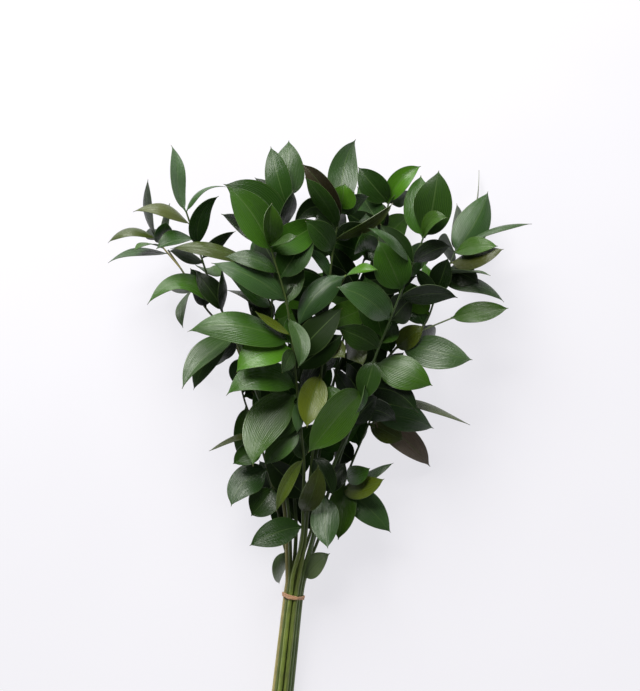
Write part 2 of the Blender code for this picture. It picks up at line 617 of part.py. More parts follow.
def make_object(name, shape, shift, collection):
    verts, faces = shape
    mesh = bpy.data.meshes.new(name)
    mesh.from_pydata([(v + shift) * 0.001 for v in verts], [], faces)
    tidy = bmesh.new()
    tidy.from_mesh(mesh)
    bmesh.ops.recalc_face_normals(tidy, faces=tidy.faces)
    tidy.to_mesh(mesh)
    tidy.free()
    made = bpy.data.objects.new(name, mesh)
    collection.objects.link(made)
    return made


def keep_outer_shell(whole):
    """Fills hollows that fusing seals and drops loose scraps, by keeping the shell with the most faces."""
    mesh = bmesh.new()
    mesh.from_mesh(whole.data)
    shells, waiting = [], set(mesh.verts)
    while waiting:
        shell, edge_of_search = set(), [waiting.pop()]
        while edge_of_search:
            vert = edge_of_search.pop()
            shell.add(vert)
            beyond = {edge.other_vert(vert) for edge in vert.link_edges} & waiting
            waiting -= beyond
            edge_of_search += beyond
        shells.append(shell)
    largest = max(shells, key=len)
    loose = [vert for shell in shells if shell is not largest for vert in shell]
    bmesh.ops.delete(mesh, geom=loose, context="VERTS")
    mesh.to_mesh(whole.data)
    mesh.free()


def fused_stem(name, layout, shift):
    """The stem with its twigs and leaves, joined into one body."""
    scene = bpy.context.scene.collection
    line = layout.lines[name][::3]
    whole = make_object(name, tube(line, Layout.radii(line), STEM_SIDES), shift, scene)
    parts = bpy.data.collections.new("parts of " + name)
    scene.children.link(parts)
    for twig in layout.twigs[name]:
        make_object("twig", tube(twig, [TWIG_RADIUS] * len(twig), STEM_SIDES), shift, parts)
    for leaf in layout.leaves[name]:
        make_object("leaf", leaf.blade(), shift, parts)
    union = whole.modifiers.new("leaves", "BOOLEAN")
    union.operation = "UNION"
    union.operand_type = "COLLECTION"
    union.collection = parts
    union.solver = "EXACT"
    union.use_self = True
    bpy.context.view_layer.objects.active = whole
    with bpy.context.temp_override(object=whole, active_object=whole):
        bpy.ops.object.modifier_apply(modifier=union.name)
    for extra in list(parts.objects):
        bpy.data.objects.remove(extra)
    bpy.data.collections.remove(parts)
    keep_outer_shell(whole)


for old in list(bpy.data.objects):
    bpy.data.objects.remove(old)

layout = Layout()
shift = layout.shift()
for name in SLOTS:
    fused_stem(name, layout, shift)
    bpy.data.objects[name].data.materials.append(plain_material(name, GREEN, GREEN_ROUGHNESS))
make_object("rubber_band", band_shape(layout), shift, bpy.context.scene.collection)
bpy.data.objects["rubber_band"].data.materials.append(plain_material("rubber_band", TAN, TAN_ROUGHNESS))
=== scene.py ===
"""The looks of a tied bunch of fresh ruscus, lying on its back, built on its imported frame.

The layout is the one that the part is built on: stems, twigs and leaves stand where its rules put
them. Here each leaf becomes a fine, thin, curved blade with veins, each stem a ridged green shoot,
and the band a twisted strip of rubber.
"""

import math
from random import Random

import bmesh
import bpy
from mathutils import Matrix, Vector
from mathutils.bvhtree import BVHTree

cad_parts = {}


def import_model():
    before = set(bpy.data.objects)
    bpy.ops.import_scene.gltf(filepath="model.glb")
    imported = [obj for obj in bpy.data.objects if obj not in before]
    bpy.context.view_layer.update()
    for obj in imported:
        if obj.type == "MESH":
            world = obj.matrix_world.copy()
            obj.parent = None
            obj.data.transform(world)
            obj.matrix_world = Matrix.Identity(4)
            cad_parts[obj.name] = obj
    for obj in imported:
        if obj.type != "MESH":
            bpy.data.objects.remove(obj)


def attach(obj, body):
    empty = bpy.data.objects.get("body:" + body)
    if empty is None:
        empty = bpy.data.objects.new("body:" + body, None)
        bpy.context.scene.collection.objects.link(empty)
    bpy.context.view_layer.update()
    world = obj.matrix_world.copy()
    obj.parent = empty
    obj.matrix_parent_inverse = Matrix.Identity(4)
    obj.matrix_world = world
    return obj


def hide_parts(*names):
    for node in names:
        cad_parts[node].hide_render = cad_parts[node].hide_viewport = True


# The plan, a view of the bunch from above: its unit in millimetres, its middle, and the eye's distance
PLAN_UNIT = 1.15
PLAN_CENTRE = (320.0, 345.5)
EYE_DISTANCE = 1700.0
MIDDLE_HEIGHT = 100.0

# Radii of stems and twigs in millimetres, and the shares of a stem's length where its radius changes
STEM_RADIUS_AT_CUT = 2.85
STEM_RADIUS_AT_HEAD = 1.75
STEM_RADIUS_AT_TIP = 1.05
THICK_UNTIL = 0.25
HEAD_FROM = 0.6
TWIG_RADIUS = 1.0

# Points for each span of stem or twig, sides of a plain tube, and a twig's start lower down and its rise
STEM_SPAN_POINTS = 6
TWIG_SPAN_POINTS = 3
STEM_SIDES = 5
TWIG_POINTS_LOWER = 5
TWIG_RISE = 2.0

# The tied stems: plan x, plan y and height at three places, their pitch in millimetres, their spread
CUT = (277.5, 738.0, 11.6)
TIE = (293.3, 596.0, 34.0)
ABOVE_TIE = (296.8, 572.0, 38.8)
BUNDLE_PITCH = 6.25
SPREAD_AT_CUT = 1.18
SPREAD_ABOVE_TIE = 1.2

# A leaf's outline: where its blade starts and how long it is, how round it is, its stalk and its spine
BLADE_FROM = 0.05
BLADE_SHARE = 0.9
BLADE_FULLNESS = 2.69
ROUND_AT_ROOT = 0.62
ROUND_AT_POINT = 0.83
STALK_HALF_WIDTH = 0.1
SPINE_HALF_WIDTH = 1.2

# How leaves differ: arch and swing as shares of the length, fold and wave as slopes, twist in degrees
ARCHES = (0.04, 0.16)
SWINGS = (-0.035, 0.035)
FOLDS = (-0.25, 0.4)
WAVES = (0.04, 0.13)
TWISTS = (-28, 28)

# How a leaf curls: its fold's power, its wave's radians, where its twist is nil, its swing's factor
FOLD_POWER = 1.5
WAVE_TURN = 5.5
TWIST_NIL_AT = 0.4
SWING_TO_ONE = 6.75

# Leaves kept clear of one another, in millimetres and degrees; near its root a leaf may touch its stem
BLADE_THICKNESS = 0.8
ROOT_SPREAD = 0.4
ROOT_INSIDE_END = 1.3
CLEARANCE = 0.45
FLOOR_CLEARANCE = 1.2
ROOT_SHARE = 0.16
MOST_MOVED = 70
MOVE_STEP = 3
EXTRA_TURNS = (0, 12, -12, 24)
RESTING_STEPS = 12

# Leaves at the back: length in mm, width as a share of it, turn in degrees, and most mm moved up
BACK_LENGTHS = (56, 80)
BACK_WIDTHS = (0.44, 0.54)
BACK_TURNS = (-38, 10)
BACK_MOST_UP = 4

# The way leaves at the back grow: from where on the stem, how far sideways, down and along it
BACK_FROM = 0.36
BACK_SIDEWAYS = 0.3
BACK_DOWN = (0.2, 0.7)
BACK_ALONG = (0.0, 0.9)
BACK_LOWEST = 4.0
BACK_LOWEST_SPREAD = 12

# Shares of a leaf's length at which its outline is set
SHOWN_STATIONS = (0.0, 0.13, 0.4, 0.74, 1.0)
BACK_STATIONS = (0.0, 0.2, 0.62, 1.0)

# Where each stem lies among the others in the tie: across and up, in pitches
SLOTS = {
    "stem_front": (-0.5, 1.443),
    "stem_centre": (0.5, 1.443),
    "stem_left": (-1.0, 0.577),
    "stem_low_inner": (0.0, 0.577),
    "stem_right_centre": (1.0, 0.577),
    "stem_far_left": (-1.5, -0.289),
    "stem_back_left": (-0.5, -0.289),
    "stem_centre_back": (0.5, -0.289),
    "stem_right": (1.5, -0.289),
    "stem_low_left": (-1.0, -1.155),
    "stem_top_right": (0.0, -1.155),
    "stem_low_outer": (1.0, -1.155),
}

# The way each stem takes above the tie: plan x, plan y, height
ROUTES = {
    "stem_far_left": ((283, 500, 54), (262, 420, 62), (246, 372, 66), (232, 338, 68), (208, 311, 70),
                      (195, 292, 70), (183, 272, 68), (168, 250, 66)),
    "stem_left": ((287, 500, 70), (268, 425, 90), (248, 370, 104), (236, 340, 110), (222, 311, 116),
                  (210, 283, 120), (200, 253, 122), (186, 211, 124)),
    "stem_low_left": ((283, 540, 40), (277, 505, 46), (268, 470, 54), (256, 430, 62), (245, 402, 68),
                      (238, 372, 72)),
    "stem_back_left": ((296, 520, 50), (290, 460, 58), (282, 400, 66), (274, 345, 74), (272, 300, 80),
                       (275, 250, 84), (283, 228, 86), (290, 197, 88)),
    "stem_front": ((302, 540, 70), (303, 500, 88), (304, 465, 102), (301, 430, 116), (297, 388, 132),
                   (293, 350, 146), (287, 305, 158), (280, 278, 164), (270, 246, 168)),
    "stem_centre": ((305, 540, 66), (309, 490, 84), (314, 440, 100), (320, 385, 114), (326, 325, 126),
                    (330, 277, 134), (334, 245, 138), (341, 208, 142)),
    "stem_centre_back": ((307, 520, 48), (318, 460, 58), (330, 400, 68), (342, 345, 78), (350, 305, 84),
                         (360, 272, 90), (367, 251, 92)),
    "stem_top_right": ((303, 530, 38), (312, 470, 42), (328, 400, 44), (348, 340, 46), (366, 280, 50),
                       (380, 235, 54), (389, 202, 56)),
    "stem_right_centre": ((312, 540, 61), (323, 495, 76), (338, 455, 90), (352, 425, 100),
                          (366, 385, 112), (376, 355, 120), (390, 320, 128), (402, 290, 134),
                          (413, 263, 138), (424, 236, 140)),
    "stem_right": ((312, 545, 44), (326, 500, 50), (346, 440, 58), (370, 385, 64), (396, 348, 68),
                   (424, 325, 70), (437, 292, 70), (449, 266, 68), (456, 250, 66)),
    "stem_low_inner": ((308, 540, 51), (321, 497, 62), (333, 465, 70), (344, 438, 78), (352, 410, 86),
                       (364, 385, 92), (376, 363, 96)),
    "stem_low_outer": ((314, 550, 34), (326, 520, 36), (342, 488, 40), (353, 460, 44), (365, 432, 50),
                       (375, 408, 56), (382, 382, 60)),
}

# Short side twigs: plan x, plan y and height of the end; each starts at the nearest point lower down
TWIGS = {
    "stem_low_outer": ((398, 399, 66),),
    "stem_right": ((452, 318, 74),),
    "stem_far_left": ((156, 239, 72),),
    "stem_back_left": ((254, 262, 130),),
    "stem_centre": ((346, 275, 142),),
}

# Leaves that show: plan x and y of root and of point, rise, width, turn, bow, and perhaps a form
LEAVES = {
    "stem_far_left": (
        (156, 239, 148, 179, 8, 21, -60, -6), (156, 239, 108, 243, 14, 22, 56, 12),
        (169, 255, 108, 263, 26, 22, 60, 4), (166, 249, 134, 251, 40, 18, 58, 5),
        (162, 244, 170, 203, -8, 16, 62, 0), (158, 241, 150, 228, -22, 20, 15, 0),
        (161, 244, 167, 222, 16, 22, 20, 0),
        (190, 289, 183, 328, 26, 20, -50, -3), (204, 306, 190, 268, 18, 26, 20, 3),
        (196, 293, 167, 280, -58, 24, 10, 2), (233, 339, 196, 372, -62, 30, -20, 0),
    ),
    "stem_left": (
        (186, 214, 171, 145, -34, 23, 46, -7, 0.08, 0.1, 0.1), (190, 227, 133, 212, 16, 22, 52, 9),
        (187, 214, 226, 187, 8, 17, 64, 8), (196, 243, 156, 249, 24, 28, 50, 4),
        (198, 248, 219, 196, 14, 26, 42, -7), (203, 258, 236, 231, 6, 18, -48, 0),
        (204, 262, 169, 251, -12, 20, -50, 3), (222, 311, 222, 265, 14, 20, 66, 2),
        (234, 336, 182, 389, 44, 33, 36, 4), (230, 330, 192, 391, 8, 27, -20, 6),
        (236, 340, 208, 362, -30, 24, -20, 0), (221, 308, 147, 305, 22, 29, 44, 22),
        (222, 311, 198, 272, -24, 26, 30, 3), (244, 360, 234, 384, -10, 22, 0, 0),
    ),
    "stem_low_left": (
        (268, 470, 231, 507, 18, 39, 18, 7, -0.06, -0.1), (274, 486, 251, 516, 2, 36, 0, -2),
        (258, 438, 209, 451, 14, 20, 70, 4), (247, 405, 238, 461, -14, 24, -20, 1),
        (284, 550, 278, 590, 12, 26, 12, -2), (262, 452, 233, 464, 10, 25, 10, 3),
    ),
    "stem_back_left": (
        (290, 198, 289, 140, -16, 38, 10, 1, 0.08, -0.05), (287, 208, 271, 148, -22, 30, -25, -2),
        (284, 225, 254, 176, -16, 27, -38, 3), (282, 230, 293, 190, 28, 26, 52, 2),
        (277, 242, 223, 184, 20, 52, 0, 12), (276, 244, 221, 214, -20, 26, -25, 4),
        (272, 304, 226, 290, 8, 22, 58, 3),
        (273, 324, 246, 300, 10, 34, 12, 4), (254, 262, 170, 249, 20, 23, 40, 5),
        (273, 306, 222, 268, 20, 32, 28, 2),
    ),
    "stem_front": (
        (271, 250, 227, 186, 10, 40, 6, 4), (271, 248, 272, 203, 18, 26, 40, 0, 0.1, 0.5),
        (270, 247, 297, 236, 30, 18, 50, 2), (287, 303, 292, 248, -22, 34, 10, 0, 0.05, 0.5),
        (286, 300, 211, 263, 20, 32, 28, 5, 0.12, -0.1), (278, 272, 225, 258, -14, 26, 18, 6),
        (290, 337, 255, 311, 16, 16, 60, -2),
        (292, 345, 187, 332, 14, 41, 30, 8, 0.12, -0.25), (293, 350, 236, 373, 22, 36, -6, 8, 0.12, 0.1),
        (290, 322, 298, 368, 26, 22, 25, 6), (293, 350, 282, 373, 18, 20, 20, 0),
        (292, 340, 288, 316, 26, 16, 50, -2), (298, 390, 226, 396, 24, 38, 30, 15, 0.12, -0.1),
        (299, 396, 253, 467, 34, 46, 6, 12, -0.14, -0.06), (299, 405, 276, 440, -12, 28, 0, 0),
        (302, 428, 264, 466, 0, 30, 0, 2), (303, 460, 293, 433, -14, 20, 30, 0),
        (298, 400, 297, 433, 18, 17, 45, 0), (303, 460, 276, 512, 22, 18, 30, -5),
        (303, 515, 318, 465, 30, 27, 10, 2), (301, 424, 284, 385, -22, 26, 20, 0),
        (302, 528, 249, 546, 16, 32, 10, 5),
    ),
    "stem_centre": (
        (341, 205, 356, 139, -30, 34, 8, -4, 0.06, 0.15), (341, 209, 345, 184, 12, 31, 0, 0),
        (338, 222, 302, 166, 2, 29, -26, 3), (337, 226, 305, 180, 2, 25, -55, 3),
        (336, 230, 292, 226, 20, 28, -42, 22), (333, 250, 305, 221, 30, 28, 4, 2),
        (334, 238, 393, 203, 20, 17, -46, -3), (340, 212, 369, 196, -8, 22, -62, 2),
        (334, 240, 372, 231, -12, 26, -45, 4), (330, 279, 302, 246, 14, 22, 55, 2),
        (345, 277, 378, 270, 14, 20, 56, 1), (346, 276, 298, 328, 4, 32, 16, 9, 0.12, -0.45),
        (324, 340, 345, 358, 20, 24, 0, 2),
        (321, 374, 307, 428, 26, 33, 10, -2, 0.1, 0.25), (319, 390, 346, 403, 14, 20, 10, 3),
        (318, 400, 346, 440, -10, 30, 0, 0), (323, 350, 300, 390, -14, 28, -20, 0),
        (327, 318, 312, 282, -10, 28, -30, -3), (312, 460, 334, 496, 4, 28, -15, 2),
    ),
    "stem_centre_back": (
        (348, 312, 321, 332, 28, 29, 20, 3),
        (344, 338, 363, 366, 42, 28, -20, 3), (366, 252, 362, 233, 60, 30, 0, 0),
        (366, 253, 366, 213, -6, 30, -18, 0), (364, 262, 396, 240, 8, 28, -20, 3),
        (340, 352, 318, 368, 30, 28, -28, 3), (352, 298, 322, 262, 6, 30, -20, 2),
    ),
    "stem_top_right": (
        (389, 203, 358, 167, 4, 33, -16, -1), (389, 202, 421, 166, 12, 24, 6, 7),
        (388, 205, 417, 197, -6, 22, -58, 3), (387, 208, 374, 222, 34, 20, 44, 0),
        (380, 236, 345, 212, 14, 28, -20, 2),
        (372, 262, 408, 246, -14, 30, 10, 2),
    ),
    "stem_right_centre": (
        (424, 237, 439, 170, 22, 44, -14, 3), (423, 238, 421, 175, -22, 36, -10, -4),
        (424, 238, 448, 218, 34, 22, 46, 7), (402, 290, 378, 240, 14, 43, 4, 0, 0.12, 0.1),
        (413, 264, 367, 228, 36, 18, 46, 3),
        (413, 264, 451, 246, -4, 27, -35, 3), (391, 318, 336, 287, 34, 36, 14, 5, 0.12, 0.1),
        (400, 302, 458, 298, 12, 28, -45, 3), (378, 350, 337, 327, 12, 30, -18, 3),
        (374, 362, 362, 401, -8, 28, -14, 0), (366, 386, 356, 414, 30, 16, 50, 0),
        (363, 392, 308, 451, 4, 48, -10, 5, 0.1, 0.1), (352, 425, 378, 396, -8, 28, -30, 2),
        (323, 495, 328, 549, 32, 34, 4, 1, 0.02, -0.2),
    ),
    "stem_right": (
        (455, 252, 488, 191, -28, 41, 8, 2, 0.04, -0.25), (456, 251, 458, 202, -38, 18, -55, 0),
        (456, 250, 479, 170, -62, 14, 66, 12, -0.1), (455, 252, 532, 224, 8, 18, 70, 10),
        (455, 253, 498, 246, 34, 25, 46, 3), (450, 263, 504, 249, 34, 31, 40, 0),
        (446, 272, 479, 284, 16, 28, -16, 5), (445, 276, 490, 276, 44, 18, 60, 1),
        (444, 282, 505, 302, 22, 23, 46, 6), (452, 318, 509, 308, 16, 25, 18, 2, 0.1, 0.15),
        (436, 296, 416, 268, 16, 20, -46, 0), (437, 294, 425, 263, -6, 24, 36, 0),
        (438, 290, 448, 258, 14, 28, -14, 0), (400, 345, 473, 360, 26, 43, 26, 1, 0.14, -0.15),
        (424, 326, 434, 357, -62, 30, 10, 0), (424, 326, 408, 292, -20, 28, 0, 0),
        (404, 352, 424, 326, 16, 26, 10, 1), (305, 579, 330, 553, 8, 25, 26, 3),
    ),
    "stem_low_inner": (
        (375, 364, 433, 386, 18, 40, 8, 2, 0.12, -0.1), (366, 392, 418, 413, 18, 32, -40, 11),
        (352, 412, 398, 424, 4, 28, -40, 6),
        (324, 490, 346, 462, -6, 32, 10, 0),
    ),
    "stem_low_outer": (
        (373, 413, 437, 431, 26, 35, 27, 2), (368, 424, 404, 441, 10, 29, -12, 2),
        (372, 416, 433, 470, 0, 31, 0, 4), (398, 399, 470, 425, 8, 20, 64, 5),
        (344, 485, 338, 540, 20, 33, -4, 0), (343, 488, 391, 533, 12, 36, 10, 4),
        (343, 488, 384, 478, 34, 27, 26, -6), (343, 488, 394, 463, 22, 18, 60, -3),
        (346, 480, 370, 468, 36, 23, 10, 0), (382, 384, 404, 352, -6, 28, 0, 0),
    ),
}

# The rows of the two leaves that the bunch rests on
RESTING = {"stem_far_left": 10, "stem_right": 14}

# The leafy head on the plan, where leaves at the back cover what still shows through
HEAD = (
    (264, 165), (300, 152), (322, 178), (345, 160), (364, 182), (400, 188), (432, 190), (448, 212),
    (475, 205), (484, 228), (478, 256), (470, 282), (440, 300), (424, 332), (446, 345), (424, 378),
    (402, 396), (414, 420), (384, 432), (358, 442), (350, 480), (346, 515), (316, 532), (288, 532),
    (256, 520), (240, 490), (240, 440), (246, 402), (240, 386), (214, 352), (230, 325), (256, 314),
    (254, 290), (222, 286), (200, 290), (188, 278), (200, 246), (224, 256), (240, 240), (236, 200),
)

# Places in the head where the background shows through: middle on the plan, half width and half height
GAPS = (
    (298, 203, 7, 9), (358, 223, 8, 7), (402, 205, 4, 7), (416, 234, 7, 5), (443, 224, 4, 8),
    (435, 257, 5, 4), (304, 260, 3, 4), (240, 244, 8, 9), (389, 366, 4, 16), (354, 378, 3, 4),
    (352, 452, 5, 6), (366, 477, 9, 6), (403, 334, 4, 3), (411, 329, 5, 3), (419, 323, 4, 3),
)

# Filling the back: leaves, tries for each, the best of them, the cost of a cell outside the head
BACK_LEAVES = 80
TRIES = 60
BEST_TRIES = 5
STRAY_COST = 3

# The width of a cell in plan units, and the points along and across a leaf that tell its cells
CELL = 4.0
CELL_POINTS_ALONG = 14
CELL_POINTS_ACROSS = 3


def in_space(x, y, height):
    """The place, in millimetres, that is seen at a point of the plan when it is this high."""
    nearer = 1.0 - (height - MIDDLE_HEIGHT) / EYE_DISTANCE
    unit = PLAN_UNIT * nearer
    return Vector(((x - PLAN_CENTRE[0]) * unit, (PLAN_CENTRE[1] - y) * unit, height))


def on_plan(point):
    """The plan's x and y where a place is seen."""
    nearer = 1.0 - (point.z - MIDDLE_HEIGHT) / EYE_DISTANCE
    return PLAN_CENTRE[0] + point.x / nearer / PLAN_UNIT, PLAN_CENTRE[1] - point.y / nearer / PLAN_UNIT


def in_head(x, y):
    """Whether a point of the plan lies inside the leafy head and outside its gaps."""
    if any(((x - gap_x) / wide) ** 2 + ((y - gap_y) / high) ** 2 < 1 for gap_x, gap_y, wide, high in GAPS):
        return False
    inside = False
    for (x0, y0), (x1, y1) in zip(HEAD, HEAD[1:] + HEAD[:1]):
        if (y0 > y) != (y1 > y) and x < x0 + (x1 - x0) * (y - y0) / (y1 - y0):
            inside = not inside
    return inside


def head_cells():
    """The squares of the plan, CELL units wide, whose middles are in the head."""
    across, down = zip(*HEAD)
    return {(i, j) for i in range(int(min(across) / CELL), int(max(across) / CELL) + 1)
            for j in range(int(min(down) / CELL), int(max(down) / CELL) + 1)
            if in_head((i + 0.5) * CELL, (j + 0.5) * CELL)}


def through(points, per_span=STEM_SPAN_POINTS):
    """A smooth line through the points."""
    ends = [2 * points[0] - points[1], *points, 2 * points[-1] - points[-2]]
    line = []
    for before, start, stop, after in zip(ends, ends[1:], ends[2:], ends[3:]):
        for k in range(per_span):
            t = k / per_span
            line.append(0.5 * (2 * start + (stop - before) * t
                               + (2 * before - 5 * start + 4 * stop - after) * t ** 2
                               + (3 * start - before - 3 * stop + after) * t ** 3))
    return line + [points[-1].copy()]


def stem_line(name):
    """The smooth line of a stem from its cut, through its place in the tie, to its tip."""
    across, up = SLOTS[name]
    spreads = ((CUT, SPREAD_AT_CUT), (TIE, 1.0), (ABOVE_TIE, SPREAD_ABOVE_TIE))
    cut, tie, above = (in_space(*place) + Vector((across, 0.0, up)) * BUNDLE_PITCH * spread
                       for place, spread in spreads)
    return through([cut, cut.lerp(tie, 0.5), tie, above, *(in_space(*p) for p in ROUTES[name])])


def lengths_along(line):
    """How far along the line each of its points is."""
    total = [0.0]
    for a, b in zip(line, line[1:]):
        total.append(total[-1] + (b - a).length)
    return total


def stem_radius(share):
    """Thick up to the tie, then thinner towards the tip."""
    if share < THICK_UNTIL:
        return STEM_RADIUS_AT_CUT
    if share < HEAD_FROM:
        done = (share - THICK_UNTIL) / (HEAD_FROM - THICK_UNTIL)
        return STEM_RADIUS_AT_CUT + (STEM_RADIUS_AT_HEAD - STEM_RADIUS_AT_CUT) * done
    done = (share - HEAD_FROM) / (1 - HEAD_FROM)
    return STEM_RADIUS_AT_HEAD + (STEM_RADIUS_AT_TIP - STEM_RADIUS_AT_HEAD) * done


def square_to(along, direction):
    """A direction tilted until it is square to another."""
    return (direction - along * direction.dot(along)).normalized()


def across_line(line, i, side):
    """Two directions square to the line at one of its points, the first as near as can be to side."""
    along = (line[min(i + 1, len(line) - 1)] - line[max(i - 1, 0)]).normalized()
    first = square_to(along, side)
    return first, along.cross(first)


def box_of(verts):
    """The lowest and the highest corner of the box round some points."""
    low = Vector([min(v[k] for v in verts) for k in range(3)])
    high = Vector([max(v[k] for v in verts) for k in range(3)])
    return low, high


def tube(line, radii, sides):
    """Vertices and faces of a closed tube along a line."""
    verts, faces = [], []
    side = Vector((1.0, 0.0, 0.0))
    for i, centre in enumerate(line):
        side, other = across_line(line, i, side)
        for k in range(sides):
            turn = math.tau * k / sides
            verts.append(centre + (side * math.cos(turn) + other * math.sin(turn)) * radii[i])
    for i in range(len(line) - 1):
        for k in range(sides):
            a, b = i * sides + k, i * sides + (k + 1) % sides
            faces += [(a, b, b + sides), (a, b + sides, a + sides)]
    last = (len(line) - 1) * sides
    for k in range(1, sides - 1):
        faces += [(0, k + 1, k), (last, last + k, last + k + 1)]
    return verts, faces


def half_width(t):
    """Half a blade's width at share t of its length: a short stalk, a rounded blade and a sharp point."""
    at = min(max((t - BLADE_FROM) / BLADE_SHARE, 0.0), 1.0)
    blade = BLADE_FULLNESS * at ** ROUND_AT_ROOT * (1 - at) ** ROUND_AT_POINT
    return max(blade, STALK_HALF_WIDTH * (1 - t), SPINE_HALF_WIDTH * (1 - t) * t ** 4)


class Leaf:
    """One blade: its root and point, its width, and how its face is turned, arched, folded and curled."""

    def __init__(self, root, point, width, turn, bow, draw, stations, form=()):
        self.root = root + Vector([draw.uniform(-ROOT_SPREAD, ROOT_SPREAD) for _ in range(3)])
        self.point = point
        self.width = width
        self.turn = math.radians(turn)
        self.bow = bow
        self.stations = stations
        drawn = [draw.uniform(*limits) for limits in (ARCHES, FOLDS, SWINGS)]
        arch, self.fold, swing = (*form, *drawn[len(form):])
        self.arch = arch * (point - root).length
        self.swing = swing * (point - root).length
        self.twist = math.radians(draw.uniform(*TWISTS))
        self.wave = draw.uniform(*WAVES)
        self.phase = draw.uniform(0.0, math.tau)
        self.row = None

    def sideways(self):
        """Across the blade on the plan, towards the plan's top or, for an upright leaf, its right."""
        chord = self.point - self.root
        side = Vector((-chord.y, chord.x, 0.0))
        if side.length < 1e-6:
            return Vector((0.0, 1.0, 0.0))
        side.normalize()
        flip = side.y < 0 if abs(side.y) > 0.5 else side.x < 0
        return -side if flip else side

    def place(self, t, s):
        """The point at share t of the length and s across, from -1 to 1, and the face's direction there."""
        side = self.sideways()
        middle = (self.root + self.point) / 2 + side * self.bow + Vector((0, 0, self.arch))
        control = 2 * middle - (self.root + self.point) / 2
        spine = self.root * (1 - t) ** 2 + control * 2 * t * (1 - t) + self.point * t ** 2
        spine += side * self.swing * SWING_TO_ONE * t ** 2 * (1 - t)
        along = ((control - self.root) * (1 - t) + (self.point - control) * t).normalized()
        turn = self.turn + self.twist * (t - TWIST_NIL_AT)
        face = square_to(along, Vector((0, 0, 1)) * math.cos(turn) + side * math.sin(turn))
        across = along.cross(face)
        half = self.width / 2 * half_width(t)
        lift = self.fold * abs(s) ** FOLD_POWER + self.wave * s * math.sin(self.phase + WAVE_TURN * t)
        return spine + across * half * s + face * half * lift, face

    def blade(self, grow=0.0, start=0.0):
        """Vertices and faces of the closed blade, which is a wedge at its root and at its point.

        For tests of clearance, grow widens it all round and start leaves out its first part.
        """
        stations = [start + (1 - start) * t for t in self.stations]
        thick = BLADE_THICKNESS / 2 + grow
        verts = []
        for t in stations:
            edge = 1.0 + 2 * grow / self.width / max(half_width(t), STALK_HALF_WIDTH)
            for s in (0,) if t in (stations[0], stations[-1]) else (-1, 0, 1):
                place, face = self.place(t, s * edge)
                verts += [place + face * thick, place - face * thick]
        first, last, tip = 2, len(verts) - 8, len(verts) - 2
        faces = []
        for end, rim, way in ((0, first, 1), (tip, last, -1)):
            fan = [(end, rim + 2, rim), (end, rim + 4, rim + 2), (end + 1, rim + 1, rim + 3),
                   (end + 1, rim + 3, rim + 5), (end, rim, rim + 1), (end, rim + 1, end + 1),
                   (end, rim + 5, rim + 4), (end, end + 1, rim + 5)]
            faces += [face[::way] for face in fan]
        for a in range(first, last, 6):
            for k in (0, 2):
                faces += [(a + k, a + k + 2, a + k + 8), (a + k, a + k + 8, a + k + 6),
                          (a + k + 1, a + k + 9, a + k + 3), (a + k + 1, a + k + 7, a + k + 9)]
            faces += [(a, a + 6, a + 7), (a, a + 7, a + 1), (a + 4, a + 5, a + 11), (a + 4, a + 11, a + 10)]
        return verts, faces

    def cells(self):
        """The squares of the plan that the blade covers."""
        along, across = CELL_POINTS_ALONG, CELL_POINTS_ACROSS
        seen = (on_plan(self.place(t / along, s / across)[0])
                for t in range(1, along + 1) for s in range(-across, across + 1))
        return {(int(x / CELL), int(y / CELL)) for x, y in seen}


